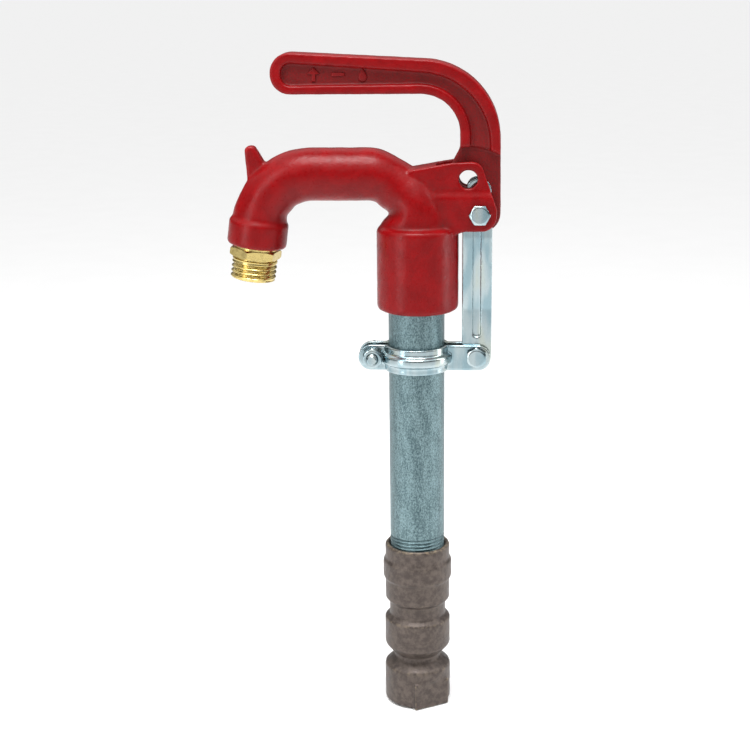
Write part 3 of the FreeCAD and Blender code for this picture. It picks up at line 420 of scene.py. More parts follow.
@dataclass
class Turned:
    """A profile carried once round an axis.

    Attributes:
        name: Name of the object.
        corners: Rows of radius, height and fillet radius, from pole to pole or all the way round.
        ring: Whether the profile joins up on itself, round a bore.
        base: Where height zero is.
        axis: Direction of growing height.
        spin: Turn about the axis, in degrees.
        cuts: Hexagons and threads worked into the blank.
        step: Greatest distance between two rows.
        columns: Points in each row.
    """

    name: str
    corners: Sequence[tuple[float, float, float]]
    ring: bool
    base: Sequence[float]
    axis: Sequence[float]
    spin: float = 0.0
    cuts: Sequence[Hexagon | Thread] = ()
    step: float = 0.6 * MM
    columns: int = 96

    def outline(self) -> np.ndarray:
        """Profile points: each filleted corner is a curve of seven points between its tangents.

        A point of the curve is (1-t)^2 A + 2 t (1-t) C + t^2 B, with A and B at the fillet's
        reach from the corner C. Straight stretches are then split into even steps.
        """
        corners = np.array([row[:2] for row in self.corners], float)
        reach = np.array([row[2] for row in self.corners], float)
        t = np.linspace(0, 1, 7)[:, None]
        pieces = []
        for index, corner in enumerate(corners):
            if reach[index] <= 0:
                pieces.append(corner[None, :])
                continue
            before, after = corners[index - 1], corners[(index + 1) % len(corners)]
            start = corner + (before - corner) / np.linalg.norm(before - corner) * reach[index]
            end = corner + (after - corner) / np.linalg.norm(after - corner) * reach[index]
            pieces.append((1 - t) ** 2 * start + 2 * t * (1 - t) * corner + t**2 * end)
        path = np.concatenate(pieces + ([pieces[0][:1]] if self.ring else []))
        along = np.concatenate([[0], np.cumsum(np.linalg.norm(np.diff(path, axis=0), axis=1))])
        even = np.linspace(0, along[-1], max(2, int(along[-1] / self.step)))
        stations = np.unique(np.concatenate([along, even]).round(7))
        made = np.stack([np.interp(stations, along, path[:, k]) for k in range(2)], 1)
        return made[:-1] if self.ring else made

    def build(self) -> bpy.types.Object:
        """Carry the outline round: x and y are radius times cosine and sine, z is the height."""
        outline = self.outline()
        angle = np.linspace(0, 2 * np.pi, self.columns, endpoint=False)[None, :]
        height = np.repeat(outline[:, 1:2], self.columns, 1)
        radius = np.repeat(outline[:, 0:1], self.columns, 1)
        for cut in self.cuts:
            radius = cut.shape(angle, radius, height)
        local = np.stack([radius * np.cos(angle), radius * np.sin(angle), height], 2)
        turn = Vector((0, 0, 1)).rotation_difference(Vector(self.axis)).to_matrix()
        turn = np.array(turn @ Matrix.Rotation(math.radians(self.spin), 3, "Z"))
        return grid_object(self.name, local @ turn.T + np.array(self.base, float), self.ring)


# ---------------------------------------------------------------- node graphs
class Graph:
    """A material's node graph, built with short calls."""

    def __init__(self, name: str, base: tuple[float, float, float], metal: float, rough: float) -> None:
        """Start a material with one surface shader.

        Args:
            name: Name of the material.
            base: Plain base colour.
            metal: Share of metal.
            rough: Roughness.
        """
        self.material = bpy.data.materials.new(name)
        self.material.use_nodes = True
        self.nodes = self.material.node_tree.nodes
        self.links = self.material.node_tree.links
        self.shader = self.nodes["Principled BSDF"]
        self.shader.inputs["Base Color"].default_value = (*base, 1)
        self.shader.inputs["Metallic"].default_value = metal
        self.shader.inputs["Roughness"].default_value = rough
        self.place = self.nodes.new("ShaderNodeTexCoord").outputs["Object"]

    def stretch(self, x: float, y: float, z: float) -> bpy.types.NodeSocket:
        """Object coordinates scaled by axis."""
        mapping = self.nodes.new("ShaderNodeMapping")
        mapping.inputs["Scale"].default_value = (x, y, z)
        self.links.new(self.place, mapping.inputs["Vector"])
        return mapping.outputs["Vector"]

    def noise(
        self, size: float, detail: float = 4, rough: float = 0.55, place: bpy.types.NodeSocket | None = None
    ) -> bpy.types.NodeSocket:
        """Soft noise whose features are about size metres across."""
        node = self.nodes.new("ShaderNodeTexNoise")
        node.inputs["Scale"].default_value = 1 / size
        node.inputs["Detail"].default_value = detail
        node.inputs["Roughness"].default_value = rough
        self.links.new(place or self.place, node.inputs["Vector"])
        return node.outputs["Fac"]

    def cells(self, size: float) -> bpy.types.NodeSocket:
        """Distance to the nearest of scattered points about size metres apart."""
        node = self.nodes.new("ShaderNodeTexVoronoi")
        node.inputs["Scale"].default_value = 1 / size
        self.links.new(self.place, node.inputs["Vector"])
        return node.outputs["Distance"]

    def value(self, name: str) -> bpy.types.NodeSocket:
        """A stored attribute of the piece."""
        node = self.nodes.new("ShaderNodeAttribute")
        node.attribute_name = name
        return node.outputs["Fac"]

    def between(self, source: bpy.types.NodeSocket, low: float, high: float, to_low: float = 0.0,
                to_high: float = 1.0) -> bpy.types.NodeSocket:
        """Map a value's range smoothly onto another range."""
        node = self.nodes.new("ShaderNodeMapRange")
        node.interpolation_type = "SMOOTHSTEP"
        node.inputs["From Min"].default_value = low
        node.inputs["From Max"].default_value = high
        node.inputs["To Min"].default_value = to_low
        node.inputs["To Max"].default_value = to_high
        self.links.new(source, node.inputs["Value"])
        return node.outputs["Result"]

    def combine(self, operation: str, first: bpy.types.NodeSocket, second: bpy.types.NodeSocket | float
                ) -> bpy.types.NodeSocket:
        """Join two values with a maths operation."""
        node = self.nodes.new("ShaderNodeMath")
        node.operation = operation
        self.links.new(first, node.inputs[0])
        if isinstance(second, (int, float)):
            node.inputs[1].default_value = second
        else:
            self.links.new(second, node.inputs[1])
        return node.outputs["Value"]

    def mix(self, share: bpy.types.NodeSocket, first: bpy.types.NodeSocket | tuple[float, float, float],
            second: bpy.types.NodeSocket | tuple[float, float, float]) -> bpy.types.NodeSocket:
        """Blend two colours by a share."""
        node = self.nodes.new("ShaderNodeMix")
        node.data_type = "RGBA"
        self.links.new(share, node.inputs["Factor"])
        for socket, colour in ((node.inputs[6], first), (node.inputs[7], second)):
            if isinstance(colour, tuple):
                socket.default_value = (*colour, 1)
            else:
                self.links.new(colour, socket)
        return node.outputs[2]

    def bump(self, heights: Sequence[tuple[bpy.types.NodeSocket, float, float]]) -> None:
        """Chain bumps, each a height, a depth in metres and a strength, into the shader's normal."""
        normal = None
        for height, depth, strength in heights:
            node = self.nodes.new("ShaderNodeBump")
            node.inputs["Strength"].default_value = strength
            node.inputs["Distance"].default_value = depth
            self.links.new(height, node.inputs["Height"])
            if normal is not None:
                self.links.new(normal, node.inputs["Normal"])
            normal = node.outputs["Normal"]
        self.links.new(normal, self.shader.inputs["Normal"])

    def feed(self, colour: bpy.types.NodeSocket, rough: bpy.types.NodeSocket) -> None:
        """Lead a colour and a roughness into the shader."""
        self.links.new(colour, self.shader.inputs["Base Color"])
        self.links.new(rough, self.shader.inputs["Roughness"])


# ---------------------------------------------------------------- finishes
@dataclass(frozen=True)
class RedEnamel:
    """Glossy red enamel over rough cast iron, with painted shade darkening the hollows and the sunken web."""

    deep: tuple[float, float, float] = (0.175, 0.001, 0.002)
    bright: tuple[float, float, float] = (0.222, 0.0012, 0.0025)
    worn: tuple[float, float, float] = (0.33, 0.010, 0.013)
    # Colour of the painted shade laid in the hollows and the lever's sunken web.
    painted_shade: tuple[float, float, float] = (0.085, 0.014, 0.013)

    def build(self) -> bpy.types.Material:
        """Mottled red with painted shade where points lie in and a thinner coat where they stand out."""
        graph = Graph("red enamel", self.bright, 0.0, 0.3)
        mottle = graph.between(graph.noise(9 * MM, 5, 0.6), 0.35, 0.68)
        colour = graph.mix(mottle, self.deep, self.bright)
        edge = graph.between(graph.value("edge"), 0.45, 1.0, 0, 0.3)
        colour = graph.mix(edge, colour, self.worn)
        # Painted shade: the hollows and the sunken web get a dark brownish red, broken up by fine noise.
        shade_noise = graph.between(graph.noise(1.1 * MM, 6, 0.7), 0.42, 0.66)
        lying = graph.combine("MAXIMUM", graph.value("hollow"), graph.value("sunken"))
        shade_grain = graph.combine("ADD", graph.combine("MULTIPLY", shade_noise, 0.55), 0.25)
        painted_shade_share = graph.combine("MULTIPLY", lying, shade_grain)
        colour = graph.mix(painted_shade_share, colour, self.painted_shade)
        rough = graph.between(graph.noise(2.2 * MM, 5, 0.6), 0.3, 0.75, 0.26, 0.42)
        rough = graph.combine("ADD", rough, graph.combine("MULTIPLY", painted_shade_share, 0.35))
        graph.feed(colour, rough)
        graph.shader.inputs["Specular IOR Level"].default_value = 0.19
        peel = graph.noise(1.6 * MM, 3, 0.5)
        sand = graph.noise(0.45 * MM, 3, 0.6)
        pits = graph.between(graph.cells(2.6 * MM), 0.02, 0.16)
        rough_sand = graph.combine("MULTIPLY", sand, graph.combine("ADD", lying, 0.35))
        graph.bump([(peel, 0.15 * MM, 0.7), (rough_sand, 0.11 * MM, 0.7), (pits, 0.05 * MM, 0.3)])
        return graph.material


@dataclass(frozen=True)
class Galvanised:
    """Hot-dip galvanised pipe: grey-teal, finely crinkled, with paler frost."""

    dark: tuple[float, float, float] = (0.05, 0.088, 0.10)
    pale: tuple[float, float, float] = (0.25, 0.36, 0.38)

    def build(self) -> bpy.types.Material:
        """Two sizes of crinkle in colour, gloss and relief."""
        graph = Graph("galvanised steel", self.pale, 0.85, 0.4)
        crinkle = graph.noise(1.0 * MM, 6, 0.66, graph.stretch(1.6, 1.6, 0.9))
        frost = graph.noise(6 * MM, 4, 0.55, graph.stretch(1.6, 1.6, 0.35))
        both = graph.combine("ADD", crinkle, graph.combine("MULTIPLY", frost, 0.3))
        spread = graph.between(both, 0.46, 0.86)
        graph.feed(graph.mix(spread, self.dark, self.pale), graph.between(crinkle, 0.3, 0.7, 0.30, 0.52))
        fine = graph.noise(0.6 * MM, 6, 0.7)
        graph.bump([(crinkle, 0.30 * MM, 0.9), (fine, 0.10 * MM, 0.6)])
        return graph.material


@dataclass(frozen=True)
class ZincPlate:
    """Bright zinc plate with faint blue and yellow bloom over rolled steel."""

    plain: tuple[float, float, float] = (0.40, 0.48, 0.50)
    blue: tuple[float, float, float] = (0.26, 0.37, 0.41)
    straw: tuple[float, float, float] = (0.46, 0.50, 0.44)
    stain: tuple[float, float, float] = (0.14, 0.17, 0.18)

    def build(self) -> bpy.types.Material:
        """Bloom in soft patches, small stains and fine rolling lines along the height."""
        graph = Graph("zinc plate", self.plain, 1.0, 0.24)
        bloom = graph.noise(11 * MM, 2, 0.4, graph.stretch(1.6, 1.6, 0.4))
        colour = graph.mix(graph.between(bloom, 0.34, 0.56), self.blue, self.plain)
        colour = graph.mix(graph.between(bloom, 0.54, 0.72, 0, 0.7), colour, self.straw)
        spots = graph.between(graph.noise(1.4 * MM, 6, 0.7), 0.60, 0.74, 0, 0.6)
        colour = graph.mix(spots, colour, self.stain)
        lines = graph.noise(1 * MM, 4, 0.6, graph.stretch(3.2, 3.2, 0.12))
        graph.feed(colour, graph.between(lines, 0.3, 0.7, 0.13, 0.28))
        graph.bump([(lines, 0.02 * MM, 0.4), (graph.noise(0.7 * MM, 5, 0.6), 0.03 * MM, 0.35)])
        return graph.material


@dataclass(frozen=True)
class Bronze:
    """Sand-cast bronze with a brown-grey skin that is rubbed yellow on its edges."""

    skin: tuple[float, float, float] = (0.060, 0.046, 0.040)
    pale: tuple[float, float, float] = (0.125, 0.100, 0.085)
    bare: tuple[float, float, float] = (0.42, 0.33, 0.20)

    def build(self) -> bpy.types.Material:
        """Mottled skin, bare metal on the edges and a coarse sand grain."""
        graph = Graph("sand-cast bronze", self.pale, 0.55, 0.5)
        mottle = graph.noise(4 * MM, 6, 0.68)
        colour = graph.mix(graph.between(mottle, 0.36, 0.66), self.skin, self.pale)
        broken = graph.between(graph.noise(2 * MM, 5, 0.6), 0.3, 0.6)
        rub = graph.combine("MULTIPLY", graph.value("edge"), broken)
        colour = graph.mix(graph.between(rub, 0.2, 1.0, 0, 0.55), colour, self.bare)
        graph.feed(colour, graph.between(mottle, 0.3, 0.7, 0.34, 0.58))
        coarse, fine = graph.noise(0.8 * MM, 6, 0.7), graph.noise(0.3 * MM, 3, 0.6)
        graph.bump([(coarse, 0.14 * MM, 0.7), (fine, 0.05 * MM, 0.6)])
        return graph.material


@dataclass(frozen=True)
class Brass:
    """Machined brass with faint tarnish and turning marks."""

    bright: tuple[float, float, float] = (0.66, 0.52, 0.20)
    tarnish: tuple[float, float, float] = (0.24, 0.17, 0.06)

    def build(self) -> bpy.types.Material:
        """Tarnish in soft patches over fine marks."""
        graph = Graph("brass", self.bright, 1.0, 0.22)
        patches = graph.noise(3.5 * MM, 5, 0.65)
        graph.feed(
            graph.mix(graph.between(patches, 0.46, 0.78, 0, 0.6), self.bright, self.tarnish),
            graph.between(patches, 0.3, 0.7, 0.16, 0.36),
        )
        marks = graph.noise(1 * MM, 3, 0.5, graph.stretch(0.3, 0.3, 5.0))
        graph.bump([(marks, 0.01 * MM, 0.25), (graph.noise(1.2 * MM, 3, 0.5), 0.015 * MM, 0.2)])
        return graph.material


@dataclass(frozen=True)
class Rubber:
    """Black moulded rubber, slightly bloomed."""

    black: tuple[float, float, float] = (0.02, 0.02, 0.02)
    bloom: tuple[float, float, float] = (0.07, 0.07, 0.07)

    def build(self) -> bpy.types.Material:
        """Grey bloom over black with a fine mould grain."""
        graph = Graph("seal rubber", self.black, 0.0, 0.6)
        patches = graph.noise(3 * MM, 4, 0.6)
        graph.feed(graph.mix(graph.between(patches, 0.4, 0.7), self.black, self.bloom),
                   graph.between(patches, 0.3, 0.7, 0.5, 0.75))
        graph.bump([(graph.noise(0.3 * MM, 3, 0.6), 0.02 * MM, 0.5)])
        return graph.material


@dataclass(frozen=True)
class TurnedSteel:
    """Plain turned steel with fine marks and a little tarnish."""

    bright: tuple[float, float, float] = (0.50, 0.50, 0.49)
    tarnish: tuple[float, float, float] = (0.30, 0.28, 0.26)

    def build(self) -> bpy.types.Material:
        """Tarnish in patches over fine marks."""
        graph = Graph("turned steel", self.bright, 1.0, 0.35)
        patches = graph.noise(3 * MM, 5, 0.6)
        graph.feed(graph.mix(graph.between(patches, 0.45, 0.7), self.bright, self.tarnish),
                   graph.between(patches, 0.3, 0.7, 0.28, 0.45))
        graph.bump([(graph.noise(0.5 * MM, 4, 0.6), 0.02 * MM, 0.4)])
        return graph.material


class Finish(Protocol):
    """Anything that can make a material."""

    def build(self) -> bpy.types.Material:
        """Make the material."""


FINISHES: dict[Slot, Finish] = {
    Slot.RED_ENAMEL: RedEnamel(),
    Slot.GALVANISED: Galvanised(),
    Slot.ZINC: ZincPlate(),
    Slot.BRONZE: Bronze(),
    Slot.BRASS: Brass(),
    Slot.RUBBER: Rubber(),
    Slot.STEEL: TurnedSteel(),
}


# ---------------------------------------------------------------- sub-assemblies
@dataclass
class Standpipe:
    """Galvanised pipe with a tapered thread at its foot.

    Attributes:
        bore: Inside radius.
        thread_turns: Turns that stand above and inside the valve body.
        pitch: Distance between threads.
        depth: Depth of the thread.
    """

    bore: float = 13.3 * MM
    thread_turns: float = 12.0
    pitch: float = 2.2 * MM
    depth: float = 1.0 * MM

    def build(self, finishes: dict[Slot, bpy.types.Material]) -> None:
        """Turn the pipe from end to end with its bore open."""
        low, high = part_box("standpipe")
        radius = (high.x - low.x) / 2 - SLACK
        length = high.z - low.z
        top_of_thread = self.thread_turns * self.pitch
        ease = 0.6 * MM
        corners = [(self.bore, 0, ease), (radius, 0, ease), (radius, length, ease), (self.bore, length, ease)]
        thread = Thread(0, top_of_thread, radius, self.pitch, self.depth)
        pipe = Turned("standpipe_turned", corners, True, (0, 0, low.z), (0, 0, 1), cuts=[thread],
                      step=0.45 * MM, columns=120).build()
        dress(pipe, ["standpipe"], Slot.GALVANISED, finishes)


@dataclass
class HoseAdapter:
    """Brass adapter screwed into the bell: neck, hexagon, undercut and hose thread.

    Attributes:
        neck: Length of plain neck below the bell's lip.
        hexagon: Height of the hexagon.
        undercut: Length of the relief above the hose thread.
        thread: Length of the hose thread.
        pitch: Distance between threads.
        depth: Depth of the hose thread.
        flats: Distance across the hexagon's flats.
        bore: Inside radius.
        inner: Radius of the part inside the bell.
        throat: Radius of the neck.
        relief: Radius between the hexagon and the hose thread.
        chamfer: How far the hexagon's chamfers reach in.
    """

    neck: float = 1.8 * MM
    hexagon: float = 5.0 * MM
    undercut: float = 1.2 * MM
    thread: float = 12.0 * MM
    pitch: float = 2.85 * MM
    depth: float = 1.25 * MM
    flats: float = 26.9 * MM
    bore: float = 9.05 * MM
    inner: float = 13.1 * MM
    throat: float = 12.55 * MM
    relief: float = 11.95 * MM
    chamfer: float = 1.3 * MM

    def build(self, finishes: dict[Slot, bpy.types.Material]) -> None:
        """Turn the adapter along the outlet's axis, from inside the bell to its nose."""
        row = mount("hose_thread")
        axis = np.array(row["axis"], float)
        centre = np.array(row["pos_m"], float)
        along = (node_points("hose_adapter") - centre) @ axis
        start, nose = along.min(), along.max()
        crest = row["dims"]["r_mm"] * MM - 0.05 * MM
        thread_low = nose - self.thread
        hex_high = thread_low - self.undercut
        hex_low = hex_high - self.hexagon
        lip = hex_low - self.neck
        corner = self.flats / 2 / math.cos(math.pi / 6)
        small = 0.5 * MM
        corners = [
            (self.bore, start, small), (self.inner, start, small), (self.inner, lip - 0.6 * MM, 0),
            (self.throat, lip, 0), (self.throat, hex_low, 0), (corner - self.chamfer, hex_low, 0),
            (corner, hex_low + 0.75 * MM, 0), (corner, hex_high - 0.75 * MM, 0),
            (corner - self.chamfer, hex_high, 0), (self.relief, hex_high, 0.3 * MM),
            (self.relief, thread_low, 0.3 * MM), (crest, thread_low, small),
            (crest, nose - 0.1 * MM, 0.9 * MM), (self.bore + 1 * MM, nose - SLACK, small),
            (self.bore, nose - 1 * MM, small),
        ]
        cuts = [Hexagon(hex_low, hex_high, self.flats),
                Thread(thread_low, nose + 0.5 * MM, crest, self.pitch, self.depth)]
        adapter = Turned("hose_adapter_turned", corners, True, centre, axis, spin=12, cuts=cuts,
                         step=0.28 * MM, columns=144).build()
        dress(adapter, ["hose_adapter"], Slot.BRASS, finishes)


@dataclass
class HexFasteners:
    """Quarter-inch bolts, nuts and split lock washers.

    Attributes:
        flats: Distance across the hexagon's flats.
        shank: Radius of the thread's crest.
        pitch: Distance between threads.
        depth: Depth of the thread.
        head: Height of a bolt's head.
        lock_split: Width of the gap in a lock washer, in degrees.
    """

    flats: float = 11.1 * MM
    shank: float = 3.15 * MM
    pitch: float = 1.27 * MM
    depth: float = 0.5 * MM
    head: float = 4.2 * MM
    lock_split: float = 14.0

    def bolt(
        self, name: str, low: np.ndarray, high: np.ndarray, head_side: int, spin: float
    ) -> bpy.types.Object:
        """A hexagon bolt along the box's Y, with a chamfered head and a threaded shank.

        Args:
            name: Name of the object.
            low: Lowest corner of the bolt's box.
            high: Highest corner of the bolt's box.
            head_side: -1 with the head in front, +1 behind.
            spin: Turn of the hexagon, in degrees.

        Returns:
            The bolt.
        """
        corner = self.flats / 2 / math.cos(math.pi / 6) - SLACK
        length = high[1] - low[1]
        tip = length - SLACK
        corners = [
            (0, SLACK, 0), (self.flats / 2 * 0.86, SLACK, 0.4 * MM), (corner, 0.95 * MM, 0),
            (corner, self.head, 0), (self.shank, self.head, 0.2 * MM), (self.shank, tip - 0.9 * MM, 0),
            (self.shank - 0.8 * MM, tip, 0.2 * MM), (0, tip, 0),
        ]
        cuts = [Hexagon(0, self.head, self.flats - 2 * SLACK),
                Thread(self.head + 1 * MM, tip + self.pitch, self.shank, self.pitch, self.depth)]
        base = ((low[0] + high[0]) / 2, low[1] if head_side < 0 else high[1], (low[2] + high[2]) / 2)
        return Turned(name, corners, False, base, (0, -head_side, 0), spin=spin, cuts=cuts,
                      step=0.22 * MM, columns=72).build()

    def hex_nut(self, name: str, low: np.ndarray, high: np.ndarray, spin: float) -> bpy.types.Object:
        """A nut chamfered at both ends, round a tapped bore."""
        corner = self.flats / 2 / math.cos(math.pi / 6) - SLACK
        height = high[1] - low[1] - 2 * SLACK
        bore = self.shank + 0.03 * MM
        face, funnel = self.flats / 2 * 0.88, 0.6 * MM
        corners = [
            (bore + funnel, 0, 0), (face, 0, 0.3 * MM), (corner, 0.9 * MM, 0), (corner, height - 0.9 * MM, 0),
            (face, height, 0.3 * MM), (bore + funnel, height, 0), (bore, height - funnel, 0),
            (bore, funnel, 0),
        ]
        base = ((low[0] + high[0]) / 2, low[1] + SLACK, (low[2] + high[2]) / 2)
        cuts = [Hexagon(-1 * MM, height + 1 * MM, self.flats - 2 * SLACK)]
        return Turned(name, corners, True, base, (0, 1, 0), spin=spin, cuts=cuts,
                      step=0.3 * MM, columns=72).build()

    def lock_washer(self, name: str, low: np.ndarray, high: np.ndarray) -> bpy.types.Object:
        """A split washer: a rounded square section carried round a slight helix, closed at both ends.

        The section's centre goes round at the washer's middle radius and climbs a tenth of
        its thickness; the end rows shrink to the centre so that the ends are closed.
        """
        outer = (high[0] - low[0]) / 2 - SLACK
        inner = self.shank + 0.15 * MM
        middle, wide = (outer + inner) / 2, (outer - inner) / 2
        thick = (high[1] - low[1]) * 0.44
        around = np.linspace(0, 2 * np.pi, 20, endpoint=False)[None, :]
        square = np.maximum(np.abs(np.cos(around)), np.abs(np.sin(around))) ** 0.8
        split = math.radians(self.lock_split) / 2
        turn = np.linspace(split, 2 * np.pi - split, 72)
        turn = np.concatenate([turn[:1], turn, turn[-1:]])[:, None]
        closed = np.ones_like(turn)
        closed[[0, -1]] = 0
        across = middle + wide * closed * np.cos(around) / square
        climb = (turn / np.pi - 1) * thick * 0.12
        height = climb + thick * 0.86 * closed * np.sin(around) / square
        centre = (np.array(low) + np.array(high)) / 2
        points = np.stack([centre[0] + across * np.cos(turn + 0.9), centre[1] + height,
                           centre[2] + across * np.sin(turn + 0.9)], 2)
        return grid_object(name, points, False)

    def build(self, finishes: dict[Slot, bpy.types.Material]) -> None:
        """Make the pivot's bolt, washer and nut, and the clamp's two of each."""
        sides = (-1, 1)
        made = {
            "pivot_bolt": self.bolt("pivot_bolt_turned", *node_box("pivot_bolt"), -1, 30),
            "pivot_nut": self.hex_nut("pivot_nut_turned", *node_box("pivot_nut"), 30),
            "pivot_lock_washer": self.lock_washer("pivot_washer_bent", *node_box("pivot_lock_washer")),
            "clamp_bolts": join("clamp_bolts_turned", [
                self.bolt(f"clamp_bolt_{side}", *side_box("clamp_bolts", side), -side, 0) for side in sides]),
            "clamp_nuts": join("clamp_nuts_turned", [
                self.hex_nut(f"clamp_nut_{side}", *side_box("clamp_nuts", side), 0) for side in sides]),
            "clamp_lock_washers": join("clamp_washers_bent", [
                self.lock_washer(f"clamp_washer_{side}", *side_box("clamp_lock_washers", side))
                for side in sides]),
        }
        for node, thing in made.items():
            dress(thing, [node], Slot.ZINC, finishes)


@dataclass
class GripMarks:
    """Raised marks cast into the grip's recess: an arrow up, a bar and a drop.

    Attributes:
        height: Height of a mark.
        relief: How far a mark stands off the web.
        web: Half thickness of the web.
        middle: Height of the marks' centres above the inlet face.
        places: Distance of each mark from the standpipe's axis, towards the grip's end.
    """

    height: float = 8.4 * MM
    relief: float = 0.8 * MM
    web: float = 5.3 * MM
    middle: float = 391.0 * MM
    places: tuple[float, float, float] = (-58 * MM, -44 * MM, -30 * MM)

    @staticmethod
    def arrow() -> np.ndarray:
        """Outline of an arrow one unit high, split into short even steps."""
        corners = np.array([(-0.13, -0.5), (0.13, -0.5), (0.13, 0.05), (0.42, 0.05), (0, 0.5), (-0.42, 0.05),
                            (-0.13, 0.05), (-0.13, -0.5)])
        along = np.concatenate([[0], np.cumsum(np.linalg.norm(np.diff(corners, axis=0), axis=1))])
        at = np.linspace(0, along[-1], MARK_POINTS, endpoint=False)
        return np.stack([np.interp(at, along, corners[:, k]) for k in range(2)], 1)

    @staticmethod
    def bar() -> np.ndarray:
        """Outline of a short flat bar with round ends: a superellipse of power eight."""
        angle = np.linspace(0, 2 * np.pi, MARK_POINTS, endpoint=False)
        power = (np.abs(np.cos(angle)) ** 8 + np.abs(np.sin(angle)) ** 8) ** (-1 / 8)
        return np.stack([0.45 * power * np.cos(angle), 0.12 * power * np.sin(angle)], 1)

    @staticmethod
    def drop() -> np.ndarray:
        """Outline of a water drop: a circle drawn out to a point at the top.

        Across is 0.4 times the sine times the half angle's sine to the power of one and a half;
        up is half the cosine.
        """
        angle = np.linspace(0, 2 * np.pi, MARK_POINTS, endpoint=False)
        return np.stack([0.40 * np.sin(angle) * np.sin(angle / 2) ** 1.5, 0.5 * np.cos(angle)], 1)

    def mark(self, outline: np.ndarray, across: float, side: int) -> bpy.types.Object:
        """Raise an outline: rings of the outline shrunk towards its middle, each a little higher."""
        shrink = np.array([1.12, 1.05, 0.97, 0.88, 0.5, 0.0])[:, None]
        lift = np.array([-0.5, 0.1, 0.75, 1.0, 1.04, 1.05])[:, None] * self.relief
        x = across + side * outline[None, :, 0] * shrink * self.height
        z = self.middle + outline[None, :, 1] * shrink * self.height
        y = np.broadcast_to(-side * (self.web + lift), x.shape)
        back = np.stack([np.full_like(x[:1], across), y[:1], np.full_like(z[:1], self.middle)], 2)
        return grid_object("grip_mark", np.concatenate([back, np.stack([x, y, z], 2)]), False, 70)

    def build(self) -> list[bpy.types.Object]:
        """The three marks on the front of the web."""
        outlines = (self.arrow(), self.bar(), self.drop())
        return [self.mark(outline, across, 1) for outline, across in zip(outlines, self.places)]


@dataclass
class Lever:
    """Cast lever with its raised marks."""

    skin: Skin = field(default_factory=lambda: Skin(
        "lever_handle", Slot.RED_ENAMEL, 0.52 * MM, 12, 0.05 * MM, 7 * MM, recess=5.4 * MM))
    marks: GripMarks = field(default_factory=GripMarks)

    def build(self, finishes: dict[Slot, bpy.types.Material]) -> None:
        """Make the casting and stand the marks on its web."""
        self.skin.build(finishes)
        raised = join("grip_marks", self.marks.build())
        raised.data.shade_smooth()
        # A sunken share of 0.45 gives the marks part of the web's painted shade.
        for name, amount in (("edge", 0.5), ("hollow", 0.0), ("sunken", 0.45)):
            set_values(raised.data, name, np.full(len(raised.data.vertices), amount))
        raised.data.materials.append(finishes[Slot.RED_ENAMEL])
        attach(raised, body_of("lever_handle"))
        log.info("grip marks: %d faces", len(raised.data.polygons))


SKINS = (
    Skin("head_casting", Slot.RED_ENAMEL, 0.78 * MM, 4, 0.05 * MM, 9 * MM, crook=(-19 * MM, 0, 314 * MM)),
    Skin("valve_body", Slot.BRONZE, 0.56 * MM, 6, 0.05 * MM, 5 * MM),
    Skin("clamp_front", Slot.ZINC, 0.38 * MM, 6),
    Skin("clamp_rear", Slot.ZINC, 0.38 * MM, 6),
    Skin("link_front", Slot.ZINC, 0.36 * MM, 5),
    Skin("link_rear", Slot.ZINC, 0.36 * MM, 5),
)


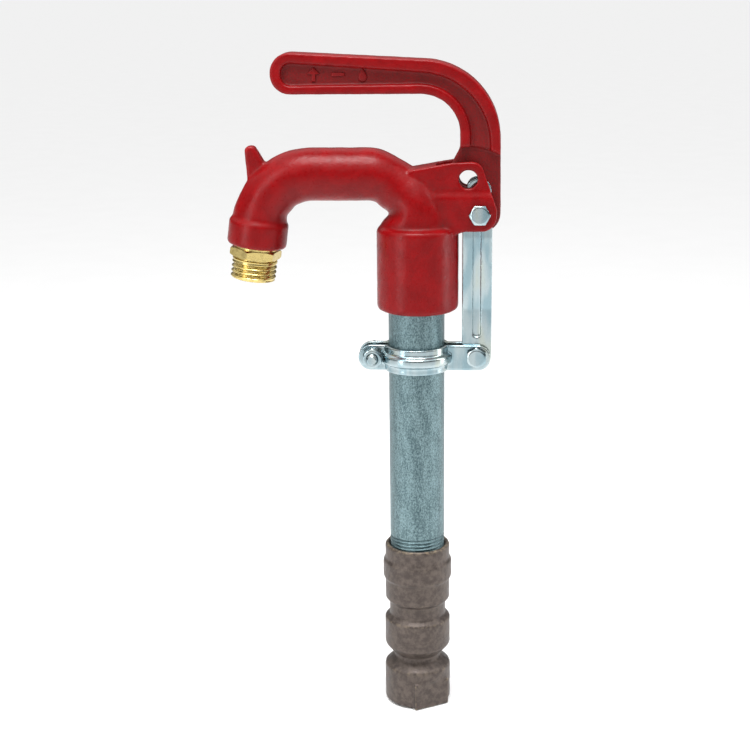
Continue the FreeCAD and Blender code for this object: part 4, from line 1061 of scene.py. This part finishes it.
@dataclass
class Studio:
    """Pale floor, soft lights and the camera.

    Attributes:
        eye: Place of the camera.
        heading: Turn of the view to the left of straight back, in degrees.
        pitch: How far the view points down, in degrees.
        roll: Turn of the camera about its view, in degrees.
        lens: Focal length for a 36 mm sensor.
        floor_size: Length of the floor's sides.
    """

    eye: tuple[float, float, float] = (0.0356, -0.8696, 0.457)
    heading: float = 4.0
    pitch: float = 15.7
    roll: float = -0.65
    lens: float = 72.0
    floor_size: float = 60.0

    def build(self) -> None:
        """Make the floor, the sky, the lights and the camera."""
        self.floor()
        self.sky()
        middle = Vector((-0.02, 0, 0.25))
        self.light("overhead softbox", Vector((-0.05, -0.25, 1.10)), middle, 0.5, 0.4, 9.0)
        self.light("left softbox", Vector((-0.50, -0.45, 0.42)), middle, 0.12, 0.8, 1.8)
        self.light("right softbox", Vector((0.62, 0.0, 0.42)), middle, 0.14, 0.8, 1.8)
        self.camera()

    def floor(self) -> None:
        """A wide pale floor that swells by hairs' breadths, on a grid centred under the valve body."""
        count = 41
        steps = np.linspace(-1, 1, count) ** 3 * self.floor_size / 2
        x, y = np.meshgrid(steps, steps, indexing="ij")
        z = -0.4 * MM + 0.05 * MM * np.sin(x * 2) * np.sin(y * 1.6)
        mesh = bpy.data.meshes.new("floor")
        quads = grid_faces(count, count, False, False)[:, ::-1]
        mesh.from_pydata(np.stack([x, y, z], 2).reshape(-1, 3), [], quads)
        floor = bpy.data.objects.new("floor", mesh)
        bpy.context.collection.objects.link(floor)
        graph = Graph("pale floor", (0.93, 0.93, 0.93), 0.0, 0.7)
        tone = graph.noise(60 * MM, 3, 0.5)
        colour = graph.mix(tone, (0.92, 0.92, 0.92), (0.95, 0.95, 0.95))
        graph.feed(colour, graph.between(tone, 0, 1, 0.6, 0.8))
        graph.shader.inputs["Specular IOR Level"].default_value = 0.0
        mesh.materials.append(graph.material)

    @staticmethod
    def sky() -> None:
        """A pale ceiling that fades to a dim horizon: brightness grows with the height of the direction."""
        world = bpy.data.worlds.new("studio")
        world.use_nodes = True
        nodes, links = world.node_tree.nodes, world.node_tree.links
        direction = nodes.new("ShaderNodeTexCoord")
        parts = nodes.new("ShaderNodeSeparateXYZ")
        links.new(direction.outputs["Generated"], parts.inputs["Vector"])
        ramp = nodes.new("ShaderNodeMapRange")
        ramp.interpolation_type = "SMOOTHSTEP"
        for name, amount in (("From Min", 0.10), ("From Max", 0.80), ("To Min", 0.05), ("To Max", 1.2)):
            ramp.inputs[name].default_value = amount
        links.new(parts.outputs["Z"], ramp.inputs["Value"])
        nodes["Background"].inputs["Color"].default_value = (1, 1, 1, 1)
        links.new(ramp.outputs["Result"], nodes["Background"].inputs["Strength"])
        bpy.context.scene.world = world
        bpy.context.scene.view_settings.view_transform = "Standard"

    @staticmethod
    def light(name: str, place: Vector, target: Vector, width: float, height: float, power: float) -> None:
        """A rectangular soft light aimed at a point."""
        data = bpy.data.lights.new(name, "AREA")
        data.shape = "RECTANGLE"
        data.size = width
        data.size_y = height
        data.energy = power
        lamp = bpy.data.objects.new(name, data)
        lamp.location = place
        lamp.rotation_mode = "QUATERNION"
        lamp.rotation_quaternion = (target - place).to_track_quat("-Z", "Y")
        bpy.context.collection.objects.link(lamp)

    def camera(self) -> None:
        """Aim the camera by its heading and pitch, then roll it about its view."""
        data = bpy.data.cameras.new("camera")
        data.lens = self.lens
        data.sensor_width = 36
        turn, dip = math.radians(self.heading), math.radians(self.pitch)
        ahead = Vector((-math.sin(turn) * math.cos(dip), math.cos(turn) * math.cos(dip), -math.sin(dip)))
        camera = bpy.data.objects.new("camera", data)
        camera.location = self.eye
        camera.rotation_mode = "QUATERNION"
        lean = Quaternion((0, 0, 1), math.radians(self.roll))
        camera.rotation_quaternion = ahead.to_track_quat("-Z", "Y") @ lean
        bpy.context.collection.objects.link(camera)
        bpy.context.scene.camera = camera


def dress_cad_nodes(finishes: dict[Slot, bpy.types.Material]) -> None:
    """Put the finish of its slot on every CAD node, shown or inside."""
    slots = {row["node"]: Slot(row["material_slot"]) for row in frame["record"]["subparts"]}
    for name, node in frame["nodes"].items():
        node.data.materials.clear()
        node.data.materials.append(finishes[slots[name]])


def main() -> None:
    """Build every sub-assembly in order, then the studio."""
    logging.basicConfig(level=logging.INFO, format="%(name)s: %(message)s")
    finishes = {slot: finish.build() for slot, finish in FINISHES.items()}
    dress_cad_nodes(finishes)
    for skin in SKINS:
        skin.build(finishes)
    Lever().build(finishes)
    Standpipe().build(finishes)
    HoseAdapter().build(finishes)
    HexFasteners().build(finishes)
    Studio().build()


if __name__ == "__main__":
    main()
